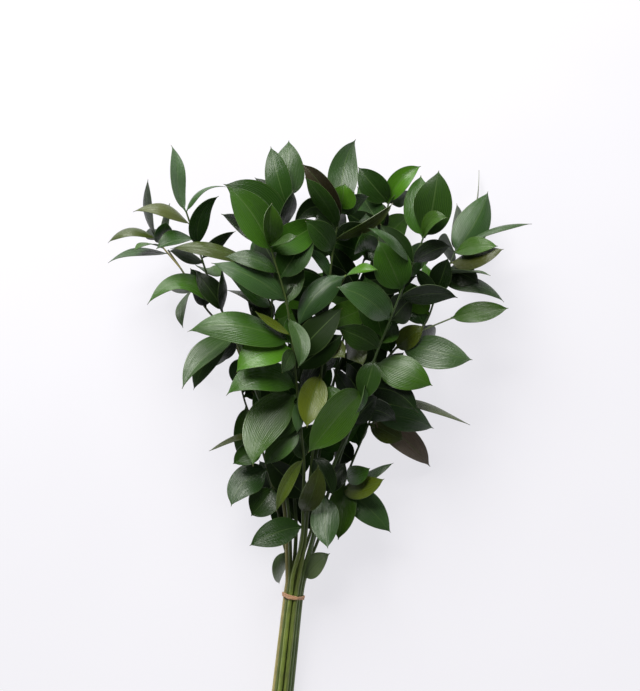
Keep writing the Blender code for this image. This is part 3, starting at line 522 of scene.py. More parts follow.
class Layout:
    """Where every stem, twig and leaf goes. Leaves move up or down, unseen from above, to keep clear."""

    def __init__(self):
        self.lines = {}
        self.twigs = {}
        self.leaves = {name: [] for name in SLOTS}
        self.placed = []
        for name in SLOTS:
            line = stem_line(name)
            self.lines[name] = line
            self.note(name, tube(line, self.radii(line), STEM_SIDES))
            self.twigs[name] = [self.twig(name, end) for end in TWIGS.get(name, ())]
        for name, rows in LEAVES.items():
            draw = Random("shown " + name)
            for number, row in enumerate(rows):
                self.shown(name, number, row, draw)
        self.fill()

    @staticmethod
    def radii(line):
        """The radius of a stem at each point of its line."""
        along = lengths_along(line)
        return [stem_radius(a / along[-1]) for a in along]

    def twig(self, name, end):
        """The line of a twig, which leaves its stem a little lower down than the point nearest its end."""
        line = self.lines[name]
        tip = in_space(*end)
        near = min(range(len(line)), key=lambda i: (line[i] - tip).length)
        start = line[max(near - TWIG_POINTS_LOWER, 0)]
        bend = start.lerp(tip, 0.5) + Vector((0, 0, TWIG_RISE))
        twig = through([start, bend, tip], TWIG_SPAN_POINTS)
        self.note(name, tube(twig, [TWIG_RADIUS] * len(twig), STEM_SIDES))
        return twig

    def note(self, name, shape):
        """Keeps the shape of a stem, twig or leaf, and its box, for later leaves to keep clear of."""
        verts, faces = shape
        self.placed.append((name, *box_of(verts), BVHTree.FromPolygons(verts, faces)))

    def clear(self, name, leaf):
        """Whether a leaf keeps off the surface, the other stems and, past its root, its own stem."""
        whole = leaf.blade(CLEARANCE)
        low, high = box_of(whole[0])
        if low.z < FLOOR_CLEARANCE:
            return False
        outer = leaf.blade(CLEARANCE / 2, ROOT_SHARE)
        trees = {True: None, False: None}
        for other, its_low, its_high, tree in self.placed:
            if any(low[k] > its_high[k] or high[k] < its_low[k] for k in range(3)):
                continue
            own = other == name
            if trees[own] is None:
                trees[own] = BVHTree.FromPolygons(*(outer if own else whole))
            if trees[own].overlap(tree):
                return False
        return True

    def settle(self, name, leaf, most_up=MOST_MOVED):
        """Moves the leaf's point up or down and turns its face as little as clears it, if anything does."""
        height = leaf.point.z
        turn = leaf.turn
        for step in range(0, MOST_MOVED, MOVE_STEP):
            for way in (step, -step) if 0 < step < most_up else (-step,):
                for extra in EXTRA_TURNS:
                    leaf.point.z = height + way
                    leaf.turn = turn + math.radians(extra)
                    if self.clear(name, leaf):
                        return True
        return False

    def root_near(self, name, x, y):
        """The place inside the stem or its twigs that is seen nearest a point of the plan."""
        choices = []
        for line in (self.lines[name], *self.twigs[name]):
            choices += [*line[:-1], line[-1] + (line[-2] - line[-1]).normalized() * ROOT_INSIDE_END]
        return min(choices, key=lambda p: math.dist(on_plan(p), (x, y))).copy()

    def shown(self, name, number, row, draw):
        """Adds the leaf that a row of LEAVES describes.

        Its rise, from root to point, and its width are millimetres. Its turn is in degrees, towards the
        plan's top or, for an upright leaf, its right, and its middle bows the same way, in plan units. Its
        form says how high the middle arches, as a share of the length, how steeply the halves fold up, and
        how far the part near the point swings to that side, as a share of the length.
        """
        x, y, point_x, point_y, rise, width, turn, bow, *form = row
        root = self.root_near(name, x, y)
        point = in_space(point_x, point_y, root.z + rise)
        leaf = Leaf(root, point, width, turn, bow * PLAN_UNIT, draw, SHOWN_STATIONS, form)
        leaf.row = name, number
        if RESTING.get(name) == number:
            for _ in range(RESTING_STEPS):
                leaf.point.z -= min(v.z for v in leaf.blade()[0])
            self.keep(name, leaf)
        elif self.settle(name, leaf):
            self.keep(name, leaf)

    def back_leaf(self, draw):
        """A leaf drawn at random, on the side of a stem that is away from the viewer."""
        name = draw.choice(list(SLOTS))
        line = self.lines[name]
        at = draw.randrange(int(len(line) * BACK_FROM), len(line) - 1)
        along = (line[at + 1] - line[at]).normalized()
        turn = draw.uniform(0, math.tau)
        down = BACK_DOWN[0] + BACK_DOWN[1] * abs(math.sin(turn))
        out = square_to(along, Vector((math.cos(turn), BACK_SIDEWAYS * math.sin(turn), -down)))
        reach = draw.uniform(*BACK_LENGTHS)
        point = line[at] + (along * draw.uniform(*BACK_ALONG) + out).normalized() * reach
        point.z = max(point.z, BACK_LOWEST + draw.uniform(0, BACK_LOWEST_SPREAD))
        width = draw.uniform(*BACK_WIDTHS) * reach
        turned = draw.uniform(*BACK_TURNS)
        return name, Leaf(line[at].copy(), point, width, turned, 0.0, draw, BACK_STATIONS)

    def fill(self):
        """Adds leaves at the back, each of them the try that covers most of what still shows through."""
        head = head_cells()
        draw = Random("back leaves")
        bare = head - {cell for leaves in self.leaves.values() for leaf in leaves for cell in leaf.cells()}
        for _ in range(BACK_LEAVES):
            tries = []
            for number in range(TRIES):
                name, leaf = self.back_leaf(draw)
                cells = leaf.cells()
                worth = len(cells & bare) - STRAY_COST * len(cells - head)
                tries.append((worth, number, name, leaf))
            for _, _, name, leaf in sorted(tries, reverse=True)[:BEST_TRIES]:
                if self.settle(name, leaf, BACK_MOST_UP):
                    self.keep(name, leaf)
                    bare -= leaf.cells()
                    break

    def keep(self, name, leaf):
        """Gives the stem this leaf, of which later ones keep clear."""
        self.leaves[name].append(leaf)
        self.note(name, leaf.blade())

    def shift(self):
        """The move that puts the bunch's middle over the origin and its lowest point at height 0."""
        low = [min(lowest[k] for _, lowest, _, _ in self.placed) for k in range(3)]
        high = [max(highest[k] for _, _, highest, _ in self.placed) for k in range(3)]
        return Vector((-(low[0] + high[0]) / 2, -(low[1] + high[1]) / 2, -low[2]))


def band_outline(layout):
    """The tie's centre and frame, where each stem crosses it, and how far round each the band stands."""
    centre = in_space(*TIE)
    along = (in_space(*ABOVE_TIE) - in_space(*CUT)).normalized()
    across = Vector((0, 0, 1)).cross(along).normalized() * -1
    up = across.cross(along)
    if up.z < 0:
        up = -up
    reach = STEM_RADIUS_AT_CUT + BAND_GAP
    dots = []
    for line in layout.lines.values():
        near = min(zip(line, line[1:]), key=lambda pair: abs((pair[0] + pair[1] - 2 * centre).dot(along)))
        a, b = ((p - centre).dot(along) for p in near)
        crossing = near[0].lerp(near[1], a / (a - b))
        dots.append(((crossing - centre).dot(across), (crossing - centre).dot(up)))
    return centre, along, across, up, dots, reach


def hull_reach(dots, reach, turn):
    """How far the hull of circles round the dots goes in a direction."""
    return max(x * math.cos(turn) + y * math.sin(turn) for x, y in dots) + reach


def ring_points(dots, reach, count):
    """Points round the hull of the circles, from the crossing of neighbouring touching lines."""
    points = []
    for k in range(count):
        here, ahead = math.tau * k / count, math.tau * (k + 1) / count
        reach_here, reach_ahead = hull_reach(dots, reach, here), hull_reach(dots, reach, ahead)
        between = math.sin(ahead - here)
        points.append(((reach_here * math.sin(ahead) - reach_ahead * math.sin(here)) / between,
                       (reach_ahead * math.cos(here) - reach_here * math.cos(ahead)) / between))
    return points


MILLIMETRE = 0.001

# A fine leaf: rows and columns, and how they crowd to its root and its midrib
LEAF_ROWS = 26
LEAF_COLUMNS = 10
ROWS_CROWD = 1.1
COLUMNS_CROWD = 1.15

# Its thickness, how deep and wide its midrib is sunk, and its narrowest half widths, in millimetres
LEAF_THICKNESS = 0.55
RIB_DEPTH = 0.35
RIB_HALF_WIDTH = 1.1
NARROW_AT_RIB = 0.5
NARROW_AT_SPINE = 0.25
NO_WIDTH = 0.01

# A fine stem: sides, lengthwise ridges, their depth as a share of the radius, and mm for each UV unit
FINE_STEM_SIDES = 14
RIDGES = 5
RIDGE_DEPTH = 0.05
SHOOT_UV_LENGTH = 100

# The band's cross-section: sides, half depth and half width in mm, how square it is, and its making size
BAND_SIDES = 10
BAND_HALF_DEPTH = 0.5
BAND_HALF_WIDTH = 1.45
BAND_SQUARENESS = 0.6
SECTION_RADIUS = 0.1

# The band's way round the stems: its gap, its thickness and how much tighter it is drawn, in millimetres
BAND_GAP = 0.45
BAND_THICKNESS = 1.3
BAND_TIGHTER = 0.05

# Steps round the band, times it is smoothed, and steps for each UV unit
BAND_STEPS = 96
BAND_SMOOTHINGS = 3
BAND_STEPS_TO_UV = 12

# How the turns lie: mm apart, wandering and one over the other, radians where they cross, and lean
BAND_APART = 1.35
BAND_WANDER = 0.35
BAND_OVER = 0.28
BAND_CROSSES_AT = 0.6
BAND_LEAN = (-0.08, 0.14)

# Where a crease between faces stays sharp, in degrees
STEM_SHARP_ANGLE = 55
BAND_SHARP_ANGLE = 60

# The order of a stem piece's materials
LEAF_SLOT, SHOOT_SLOT, CUT_SLOT, WITHIN_SLOT = range(4)

# Colours on a leaf: midrib, edge, dry point and underside, and how its tone is darkened or lightened
MIDRIB_GREEN = (0.09, 0.15, 0.045)
EDGE_GREEN = (0.09, 0.14, 0.04)
DRY_POINT = (0.13, 0.085, 0.04)
UNDERSIDE_GREEN = (0.07, 0.105, 0.045)
LEAF_DARKENING = (0.55, 0.62, 0.6)
LEAF_LIGHTENING = (1.7, 1.45, 1.5)

# Colours on a shoot: its patches and the dark green painted as shade where it runs into the leafy head, and
# how its tone is changed
SHOOT_PATCH = (0.07, 0.075, 0.035)
SHOOT_SHADE_IN_HEAD = (0.022, 0.045, 0.011)
SHOOT_DARKENING = (0.6, 0.65, 0.6)
SHOOT_LIGHTENING = (1.6, 1.5, 1.3)

# Colours of the pith at a cut and of the rubber
PITH = (0.42, 0.43, 0.22)
PITH_LIGHT = (0.55, 0.53, 0.33)
PITH_RING = (0.3, 0.33, 0.14)
RUBBER_DARK = (0.5, 0.25, 0.13)
RUBBER_LIGHT = (0.68, 0.42, 0.25)
RUBBER_BLOOM = (0.7, 0.48, 0.32)

# Patterns: the noise's roughness, cells for each metre or UV unit, and veins across a leaf
NOISE_ROUGHNESS = 0.55
LEAF_MOTTLE_SCALE = 38.0
LEAF_STREAK_SCALE = (46.0, 2.2, 1.0)
LEAF_VEINS = 21.0
SHOOT_PATCH_SCALE = 26.0
SHOOT_RIDGE_SCALE = (34.0, 5.0, 1.0)
PITH_GRAIN_SCALE = 900.0
PITH_RING_SCALE = 260.0
RUBBER_BLOOM_SCALE = 420.0
RUBBER_STREAK_SCALE = (9.0, 14.0, 1.0)


class Wiring:
    """Short ways to make and join shader nodes."""

    def __init__(self, name):
        self.material = bpy.data.materials.new(name)
        self.material.use_nodes = True
        self.tree = self.material.node_tree
        self.surface = self.tree.nodes["Principled BSDF"]

    def put(self, socket, value):
        """Joins a socket to an output, or gives it a number or a colour."""
        if hasattr(value, "is_output"):
            self.tree.links.new(value, socket)
        else:
            socket.default_value = value

    def math(self, operation, *values):
        node = self.tree.nodes.new("ShaderNodeMath")
        node.operation = operation
        for socket, value in zip(node.inputs, values):
            self.put(socket, value)
        return node.outputs[0]

    def mix(self, share, first, second):
        """The first colour where the share is 0 and the second where it is 1."""
        node = self.tree.nodes.new("ShaderNodeMix")
        node.data_type = "RGBA"
        self.put(node.inputs["Factor"], share)
        for socket, value in ((node.inputs[6], first), (node.inputs[7], second)):
            self.put(socket, (*value, 1.0) if isinstance(value, tuple) else value)
        return node.outputs[2]

    def times(self, colour, factors):
        """A colour with its red, green and blue multiplied by the factors."""
        result = self.mix(1.0, colour, factors)
        result.node.blend_type = "MULTIPLY"
        return result

    def spread(self, value, low, high, to_low=0.0, to_high=1.0):
        """Turns a value from low to high smoothly into one from to_low to to_high."""
        node = self.tree.nodes.new("ShaderNodeMapRange")
        node.interpolation_type = "SMOOTHSTEP"
        for socket, number in zip(node.inputs, (value, low, high, to_low, to_high)):
            self.put(socket, number)
        return node.outputs[0]

    def noise(self, vector, scale, detail):
        node = self.tree.nodes.new("ShaderNodeTexNoise")
        self.put(node.inputs["Vector"], vector)
        self.put(node.inputs["Scale"], scale)
        self.put(node.inputs["Detail"], detail)
        self.put(node.inputs["Roughness"], NOISE_ROUGHNESS)
        return node.outputs["Fac"]

    def place(self):
        """The piece's own coordinates, in metres."""
        return self.tree.nodes.new("ShaderNodeTexCoord").outputs["Object"]

    def uv(self, name):
        """A UV map, with its two parts by themselves."""
        node = self.tree.nodes.new("ShaderNodeUVMap")
        node.uv_map = name
        split = self.tree.nodes.new("ShaderNodeSeparateXYZ")
        self.tree.links.new(node.outputs[0], split.inputs[0])
        return node.outputs[0], split.outputs[0], split.outputs[1]

    def given(self, name):
        """The colour and the alpha that the mesh holds under this name."""
        node = self.tree.nodes.new("ShaderNodeAttribute")
        node.attribute_name = name
        return node.outputs["Color"], node.outputs["Alpha"]

    def streaks(self, vector, scale, detail):
        """Noise drawn out more along one part of the vector than along another."""
        node = self.tree.nodes.new("ShaderNodeMapping")
        self.tree.links.new(vector, node.inputs["Vector"])
        node.inputs["Scale"].default_value = scale
        return self.noise(node.outputs[0], 1.0, detail)

    def bump(self, height, strength, distance, under=None):
        """Relief this many metres deep, on top of another relief where one is given."""
        node = self.tree.nodes.new("ShaderNodeBump")
        self.put(node.inputs["Height"], height)
        node.inputs["Strength"].default_value = strength
        node.inputs["Distance"].default_value = distance
        if under is not None:
            self.tree.links.new(under, node.inputs["Normal"])
        return node.outputs[0]


def leaf_material(name, shine, added_roughness):
    """Waxy green with a paler midrib, fine veins running from root to point, and a duller underside."""
    w = Wiring(name)
    tone, under = w.given("leaf")
    uv, across, along = w.uv("blade")
    from_rib = w.math("ABSOLUTE", w.math("SUBTRACT", across, 0.5))
    mottle = w.noise(w.place(), LEAF_MOTTLE_SCALE, 4.0)
    fine = w.streaks(uv, LEAF_STREAK_SCALE, 2.0)
    veins = w.math("SINE", w.math("MULTIPLY", across, math.tau * LEAF_VEINS))
    lines = w.math("ADD", w.math("MULTIPLY", veins, 0.35), w.math("MULTIPLY", fine, 1.1))
    green = w.mix(w.spread(mottle, 0.42, 0.72, 0.0, 0.6), tone, w.times(tone, LEAF_DARKENING))
    green = w.mix(w.spread(lines, 0.35, 0.95, 0.0, 0.9), green, w.times(tone, LEAF_LIGHTENING))
    green = w.mix(w.spread(from_rib, 0.006, 0.026, 0.5, 0.0), green, MIDRIB_GREEN)
    green = w.mix(w.spread(from_rib, 0.475, 0.5, 0.0, 0.45), green, EDGE_GREEN)
    dry = w.math("MULTIPLY", w.spread(along, 0.965, 1.0), 0.85)
    green = w.mix(dry, green, DRY_POINT)
    pale = w.mix(0.4, green, UNDERSIDE_GREEN)
    w.put(w.surface.inputs["Base Color"], w.mix(under, green, pale))
    rough = w.spread(mottle, 0.3, 0.75, 0.25 + added_roughness, 0.37 + added_roughness)
    rough = w.math("ADD", rough, w.math("MULTIPLY", under, 0.2))
    rough = w.math("ADD", rough, w.spread(fine, 0.35, 0.65, 0.07, -0.05))
    w.put(w.surface.inputs["Roughness"], rough)
    w.surface.inputs["Specular IOR Level"].default_value = shine
    w.surface.inputs["Coat Weight"].default_value = 0.05
    w.surface.inputs["Coat Roughness"].default_value = 0.45
    fine_relief = w.bump(lines, 0.42, 0.0005)
    w.put(w.surface.inputs["Normal"], w.bump(mottle, 0.3, 0.0016, fine_relief))
    return w.material


def shoot_material():
    """Smooth green shoot with fine lengthwise ridges, with shade painted on it from the leafy head on."""
    w = Wiring("ruscus_shoot")
    tone, _ = w.given("leaf")
    uv, _, along = w.uv("blade")
    ridges = w.streaks(uv, SHOOT_RIDGE_SCALE, 3.0)
    patches = w.noise(w.place(), SHOOT_PATCH_SCALE, 3.0)
    darker, lighter = w.times(tone, SHOOT_DARKENING), w.times(tone, SHOOT_LIGHTENING)
    green = w.mix(w.spread(ridges, 0.38, 0.62), darker, lighter)
    green = w.mix(w.spread(patches, 0.5, 0.8, 0.0, 0.5), green, SHOOT_PATCH)
    # painted shade: the shoot turns dark green where it runs in among the leaves of the head
    green = w.mix(w.spread(along, 1.8, 2.9, 0.0, 0.8), green, SHOOT_SHADE_IN_HEAD)
    w.put(w.surface.inputs["Base Color"], green)
    w.put(w.surface.inputs["Roughness"], w.spread(patches, 0.3, 0.7, 0.38, 0.52))
    w.surface.inputs["Specular IOR Level"].default_value = 0.5
    w.put(w.surface.inputs["Normal"], w.bump(ridges, 0.5, 0.0004))
    return w.material


def cut_material():
    """Pale, moist pith where a stem was cut."""
    w = Wiring("ruscus_cut_end")
    place = w.place()
    grain = w.noise(place, PITH_GRAIN_SCALE, 2.0)
    rings = w.noise(place, PITH_RING_SCALE, 3.0)
    pale = w.mix(w.spread(grain, 0.4, 0.65), PITH, PITH_LIGHT)
    w.put(w.surface.inputs["Base Color"], w.mix(w.spread(rings, 0.5, 0.7, 0.0, 0.6), pale, PITH_RING))
    w.put(w.surface.inputs["Roughness"], w.spread(grain, 0.3, 0.7, 0.45, 0.65))
    w.put(w.surface.inputs["Normal"], w.bump(grain, 0.6, 0.0003))
    return w.material


def rubber_material():
    """Matt tan rubber with faint streaks along the band and a dusty bloom."""
    w = Wiring("tan_rubber")
    uv, _, _ = w.uv("blade")
    streaks = w.streaks(uv, RUBBER_STREAK_SCALE, 3.0)
    bloom = w.noise(w.place(), RUBBER_BLOOM_SCALE, 3.0)
    tan = w.mix(w.spread(streaks, 0.35, 0.7), RUBBER_DARK, RUBBER_LIGHT)
    tan = w.mix(w.spread(bloom, 0.5, 0.75, 0.0, 0.5), tan, RUBBER_BLOOM)
    w.put(w.surface.inputs["Base Color"], tan)
    w.put(w.surface.inputs["Roughness"], w.spread(bloom, 0.3, 0.7, 0.55, 0.75))
    w.put(w.surface.inputs["Normal"], w.bump(streaks, 0.5, 0.0004))
    return w.material


def blade_sheet(mesh, leaf, tone, layers):
    """Bends a grid into one leaf: its midrib sunk, its point a short spine."""
    tone_layer, blade_layer = layers
    grid = bmesh.ops.create_grid(mesh, x_segments=LEAF_COLUMNS, y_segments=LEAF_ROWS, size=1.0)
    for vert in grid["verts"]:
        t = ((vert.co.y + 1) / 2) ** ROWS_CROWD
        s = math.copysign(abs(vert.co.x) ** COLUMNS_CROWD, vert.co.x)
        half = leaf.width / 2 * half_width(t)
        place, face = leaf.place(t, s * max(1.0, NARROW_AT_SPINE / half) if half > NO_WIDTH else 0.0)
        from_rib = s * max(half, NARROW_AT_RIB) / RIB_HALF_WIDTH
        sunk = RIB_DEPTH * math.exp(-from_rib ** 2) * (1 - t)
        vert.co = place + face * (LEAF_THICKNESS / 2 - sunk)
        vert[tone_layer] = (*tone, 0.0)
        vert[blade_layer] = (0.5 + s / 2, t, 0.0)


def edges_of(verts):
    """The edges that meet at some vertices."""
    return list({edge for vert in verts for edge in vert.link_edges})


def shoot(mesh, line, radii, tone, draw, layers):
    """Extrudes a ring along a line into a closed shoot with low lengthwise ridges and a cut end."""
    tone_layer, blade_layer = layers
    side = Vector((1.0, 0.0, 0.0))
    phase = draw.uniform(0, math.tau)
    distances = lengths_along(line)
    circle = bmesh.ops.create_circle(mesh, segments=FINE_STEM_SIDES, radius=1.0, cap_ends=False)
    ring = circle["verts"]
    edges = edges_of(ring)
    first = list(edges)
    for i, centre in enumerate(line):
        if i:
            grown = bmesh.ops.extrude_edge_only(mesh, edges=edges)["geom"]
            ring = [part for part in grown if isinstance(part, bmesh.types.BMVert)]
            edges = [part for part in grown if isinstance(part, bmesh.types.BMEdge)]
        side, other = across_line(line, i, side)
        for vert in ring:
            turn = math.atan2(vert.co.y, vert.co.x) if i == 0 else vert[blade_layer].x * math.tau
            reach = radii[i] * (1.0 - RIDGE_DEPTH + RIDGE_DEPTH * math.cos(RIDGES * turn + phase))
            vert[blade_layer] = (turn / math.tau, distances[i] / SHOOT_UV_LENGTH, 0.0)
            vert[tone_layer] = (*tone, 0.0)
            vert.co = centre + (side * math.cos(turn) + other * math.sin(turn)) * reach
    for rim, slot in ((first, CUT_SLOT), (edges, SHOOT_SLOT)):
        for face in bmesh.ops.contextual_create(mesh, geom=rim)["faces"]:
            face.material_index = slot
    for face in mesh.faces:
        if face.material_index == LEAF_SLOT:
            face.material_index = SHOOT_SLOT


def finished(mesh, name, shift, materials, sharp_angle):
    """Turns a bmesh in millimetres into a piece at the origin, with its blade layer as a UV map.

    Where a face of a shoot lies across the seam, its corners before the seam are carried one turn on.
    """
    blade_layer = mesh.verts.layers.float_vector["blade_place"]
    uv_layer = mesh.loops.layers.uv.new("blade")
    for face in mesh.faces:
        face.smooth = True
        around = [loop.vert[blade_layer].x for loop in face.loops]
        seam = face.material_index == SHOOT_SLOT and max(around) - min(around) > 0.5
        for loop in face.loops:
            place = loop.vert[blade_layer]
            loop[uv_layer].uv = (place.x + 1.0 if seam and place.x < 0 else place.x, place.y)
    for vert in mesh.verts:
        vert.co = (vert.co + shift) * MILLIMETRE
    data = bpy.data.meshes.new(name)
    mesh.to_mesh(data)
    mesh.free()
    for material in materials:
        data.materials.append(material)
    data.set_sharp_from_angle(angle=math.radians(sharp_angle))
    return add_object(name, data)


def add_object(name, data):
    """A new object of the scene."""
    made = bpy.data.objects.new(name, data)
    bpy.context.scene.collection.objects.link(made)
    return made


def new_mesh():
    """An empty bmesh, with one layer for its tones and one for places on its blades."""
    mesh = bmesh.new()
    tone_layer = mesh.verts.layers.float_color.new("leaf")
    blade_layer = mesh.verts.layers.float_vector.new("blade_place")
    return mesh, (tone_layer, blade_layer)


def stem_piece(name, layout, shift, materials):
    """One stem with its twigs and all its leaves; a tone's alpha is 1 on the underside of a leaf."""
    draw = Random("looks of " + name)
    mesh, layers = new_mesh()
    tone_layer, _ = layers
    line = layout.lines[name]
    shoot(mesh, line, Layout.radii(line), STEM_TONES[name], draw, layers)
    for twig in layout.twigs[name]:
        shoot(mesh, twig, [TWIG_RADIUS] * len(twig), STEM_TONES[name], draw, layers)
    bmesh.ops.recalc_face_normals(mesh, faces=mesh.faces)
    wood = set(mesh.faces)
    sheets = []
    for leaf in layout.leaves[name]:
        before = set(mesh.faces)
        blade_sheet(mesh, leaf, leaf_tone(leaf, draw), layers)
        for face in set(mesh.faces) - before:
            face.material_index = LEAF_SLOT if leaf.row else WITHIN_SLOT
            sheets.append(face)
    upper = {vert for face in sheets for vert in face.verts}
    bmesh.ops.solidify(mesh, geom=sheets, thickness=LEAF_THICKNESS)
    for vert in mesh.verts:
        if vert not in upper and not any(face in wood for face in vert.link_faces):
            vert[tone_layer] = (*vert[tone_layer][:3], 1.0)
    return finished(mesh, name + "_growth", shift, materials, STEM_SHARP_ANGLE)


# The colour of each stem below the leafy head
STEM_TONES = {
    "stem_front": (0.2, 0.27, 0.06), "stem_centre": (0.15, 0.2, 0.05), "stem_left": (0.11, 0.15, 0.04),
    "stem_low_inner": (0.12, 0.16, 0.04), "stem_right_centre": (0.1, 0.16, 0.05),
    "stem_far_left": (0.42, 0.38, 0.18), "stem_back_left": (0.08, 0.11, 0.03),
    "stem_centre_back": (0.08, 0.11, 0.03), "stem_right": (0.13, 0.18, 0.08),
    "stem_low_left": (0.2, 0.2, 0.08), "stem_top_right": (0.08, 0.11, 0.03),
    "stem_low_outer": (0.12, 0.17, 0.06),
}

# Leaf colours: blackish and dark green as painted shade, plain green, bright green as painted light shining
# through, yellowish green partly its own and partly painted light shining through, olive, brown, a greyer
# green that helps paint a whitish sheen, pale brown, greyish
LEAF_COLOURS = {
    "k": (0.007, 0.019, 0.003), "d": (0.015, 0.047, 0.005), "g": (0.028, 0.085, 0.006),
    "b": (0.04, 0.135, 0.006), "y": (0.075, 0.115, 0.008), "o": (0.042, 0.06, 0.008),
    "n": (0.03, 0.028, 0.013), "w": (0.028, 0.068, 0.017),
    "p": (0.085, 0.07, 0.045), "s": (0.12, 0.19, 0.085),
}

# One letter for each row of LEAVES
LEAF_TONES = {
    "stem_far_left": "kowgdkdwkkd",
    "stem_left": "wowddkdkwdkgkd",
    "stem_low_left": "wdogsg",
    "stem_back_left": "wdkkdkokod",
    "stem_front": "ggwwwdygbwwgggdgwwyodd",
    "stem_centre": "wbndkdodkwbwoygkkkk",
    "stem_centre_back": "wobddkk",
    "stem_top_right": "dbdokk",
    "stem_right_centre": "dgggwkwkddwgkw",
    "stem_right": "wkowgokwdgwbkwkdys",
    "stem_low_inner": "gkkk",
    "stem_low_outer": "wopogwydbk",
}

# Letters that leaves at the back draw from, mostly the blackish and dark greens of painted shade
BACK_TONES = "ddgkkk"

# How far a leaf's colour departs from its letter's: darkest and lightest, least and most red
STRENGTHS = (0.85, 1.2)
WARMTHS = (0.9, 1.12)


def leaf_tone(leaf, draw):
    """The leaf's colour from its letter, which for some letters is painted shade or painted light, a little
    lighter or darker than the letter's.
    """
    letter = draw.choice(BACK_TONES)
    if leaf.row is not None:
        stem, number = leaf.row
        letter = LEAF_TONES[stem][number]
    strength = draw.uniform(*STRENGTHS)
    warmth = draw.uniform(*WARMTHS)
    red, green, blue = LEAF_COLOURS[letter]
    return red * strength * warmth, green * strength, blue * strength


def flattened(share, half):
    """Where a place on a round section goes, across or up, when the section is flat and nearly square."""
    return half * math.copysign(abs(share) ** BAND_SQUARENESS, share)


def band_piece(layout, shift, material):
    """The band: a flat strip that goes twice round the stems, its turns side by side and crossed."""
    centre, along, across, up, dots, reach = band_outline(layout)
    middle = reach + BAND_THICKNESS / 2 - BAND_TIGHTER
    loop = [Vector(point) for point in ring_points(dots, middle, BAND_STEPS)]
    for _ in range(BAND_SMOOTHINGS):
        loop = [(loop[k - 1] + loop[k] * 2 + loop[(k + 1) % BAND_STEPS]) / 4 for k in range(BAND_STEPS)]
    mesh, (_, blade_layer) = new_mesh()
    standing = Matrix.Translation((1, 0, 0)) @ Matrix.Rotation(math.pi / 2, 4, "X")
    for strand in (-1, 1):
        section = bmesh.ops.create_circle(mesh, segments=BAND_SIDES, radius=SECTION_RADIUS, cap_ends=False,
                                          matrix=standing)
        edges = edges_of(section["verts"])
        before = set(mesh.verts) - set(section["verts"])
        bmesh.ops.spin(mesh, geom=edges, cent=(0, 0, 0), axis=(0, 0, 1), angle=math.tau, steps=BAND_STEPS,
                       use_merge=True)
        for vert in set(mesh.verts) - before:
            turn = math.atan2(vert.co.y, vert.co.x) % math.tau
            k = round(turn / math.tau * BAND_STEPS) % BAND_STEPS
            here, ahead = loop[k], loop[(k + 1) % BAND_STEPS]
            out = Vector((ahead.y - here.y, here.x - ahead.x)).normalized()
            away = (vert.co.xy.length - 1) / SECTION_RADIUS
            side = vert.co.z / SECTION_RADIUS
            apart = strand * BAND_APART * math.cos(turn + BAND_CROSSES_AT)
            slide = apart + BAND_WANDER * math.sin(2 * turn + strand)
            lift = BAND_OVER * strand * math.sin(turn + BAND_CROSSES_AT)
            flat = here + out * (flattened(away, BAND_HALF_DEPTH) + lift)
            wide = flattened(side, BAND_HALF_WIDTH)
            vert[blade_layer] = (math.atan2(side, away) / math.tau, k / BAND_STEPS_TO_UV, 0.0)
            lean = BAND_LEAN[0] * flat.x + BAND_LEAN[1] * flat.y
            vert.co = centre + across * flat.x + up * flat.y + along * (slide + wide + lean)
    bmesh.ops.recalc_face_normals(mesh, faces=mesh.faces)
    return finished(mesh, "band_of_rubber", shift, [material], BAND_SHARP_ANGLE)


# Table top, sky and camera: colours, strengths, scale of the clouds, half the table's side, sensor
TABLE_DARK = (0.2, 0.197, 0.208)
TABLE_LIGHT = (0.225, 0.221, 0.232)
TABLE_GLOW = (0.96, 0.95, 1.0, 1.0)
TABLE_GLOW_STRENGTH = 0.74
TABLE_CLOUD_SCALE = 1.3
TABLE_HALF_SIDE = 6.0
SKY = (0.97, 0.97, 1.0, 1.0)
SKY_STRENGTH = 0.08
SENSOR_WIDTH = 36.0


def floor_material():
    """Pale, slightly glowing table top with faint clouds."""
    w = Wiring("pale_table")
    cloud = w.noise(w.place(), TABLE_CLOUD_SCALE, 3.0)
    w.put(w.surface.inputs["Base Color"], w.mix(w.spread(cloud, 0.35, 0.65), TABLE_DARK, TABLE_LIGHT))
    w.put(w.surface.inputs["Roughness"], w.spread(cloud, 0.3, 0.7, 0.6, 0.7))
    w.surface.inputs["Emission Color"].default_value = TABLE_GLOW
    w.surface.inputs["Emission Strength"].default_value = TABLE_GLOW_STRENGTH
    return w.material


def add_floor():
    mesh = bpy.data.meshes.new("table_top")
    plane = bmesh.new()
    bmesh.ops.create_grid(plane, x_segments=1, y_segments=1, size=TABLE_HALF_SIDE)
    plane.to_mesh(mesh)
    plane.free()
    mesh.materials.append(floor_material())
    table = add_object("table_top", mesh)


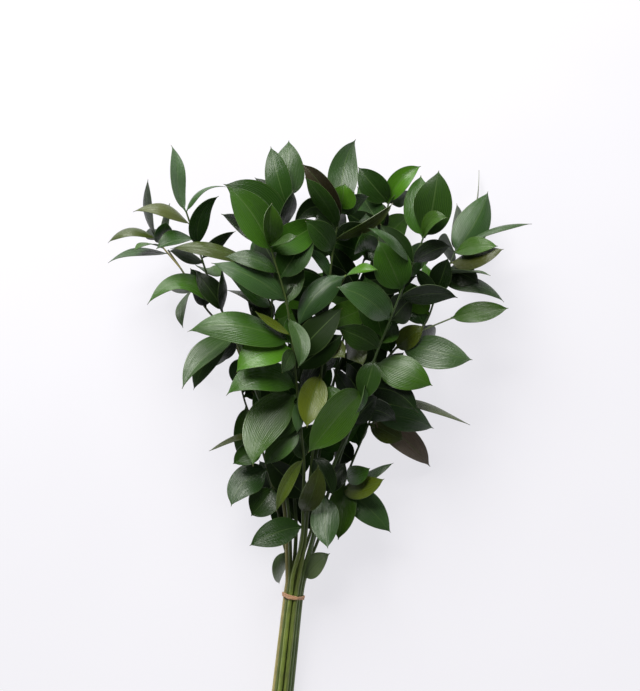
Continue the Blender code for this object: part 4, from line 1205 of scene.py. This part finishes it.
def add_light(name, place, target, side, power, colour, mirrored):
    """A square lamp with its side in metres and its power in watts, which gloss may or may not mirror."""
    lamp = bpy.data.lights.new(name, "AREA")
    lamp.shape = "SQUARE"
    lamp.size = side
    lamp.energy = power
    lamp.color = colour
    made = add_object(name, lamp)
    made.location = place
    made.rotation_euler = (Vector(target) - Vector(place)).to_track_quat("-Z", "Y").to_euler()
    made.visible_glossy = mirrored


def add_camera(shift):
    """The eye over the plan's middle, looking straight down and seeing the whole height of the plan."""
    data = bpy.data.cameras.new("camera")
    data.sensor_width = SENSOR_WIDTH
    data.lens = SENSOR_WIDTH * EYE_DISTANCE / (2 * PLAN_CENTRE[1] * PLAN_UNIT)
    data.dof.use_dof = False
    camera = add_object("camera", data)
    camera.location = (Vector((0, 0, MIDDLE_HEIGHT + EYE_DISTANCE)) + shift) * MILLIMETRE
    bpy.context.scene.camera = camera


def add_world():
    world = bpy.data.worlds.new("studio")
    world.use_nodes = True
    backdrop = world.node_tree.nodes["Background"]
    backdrop.inputs["Color"].default_value = SKY
    backdrop.inputs["Strength"].default_value = SKY_STRENGTH
    bpy.context.scene.world = world


def main():
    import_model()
    bpy.context.scene.view_settings.view_transform = "Standard"
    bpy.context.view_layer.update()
    layout = Layout()
    shift = layout.shift()
    materials = [leaf_material("ruscus_leaf", shine=0.44, added_roughness=0.0),
                 shoot_material(),
                 cut_material(),
                 leaf_material("ruscus_leaf_within", shine=0.08, added_roughness=0.12)]
    for name in SLOTS:
        piece = stem_piece(name, layout, shift, materials)
        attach(piece, "root")
        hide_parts(name)
    band = band_piece(layout, shift, rubber_material())
    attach(band, "root")
    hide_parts("rubber_band")
    add_floor()
    add_world()
    add_light("window", place=(-0.6, 1.85, 1.4), target=(0, 0.1, 0.1), side=1.6, power=96.0,
              colour=(1.0, 0.99, 0.95), mirrored=True)
    add_light("fill", place=(1.6, -1.2, 1.6), target=(0, 0.0, 0.1), side=1.6, power=9.0,
              colour=(1.0, 1.0, 1.0), mirrored=False)
    add_camera(shift)


main()
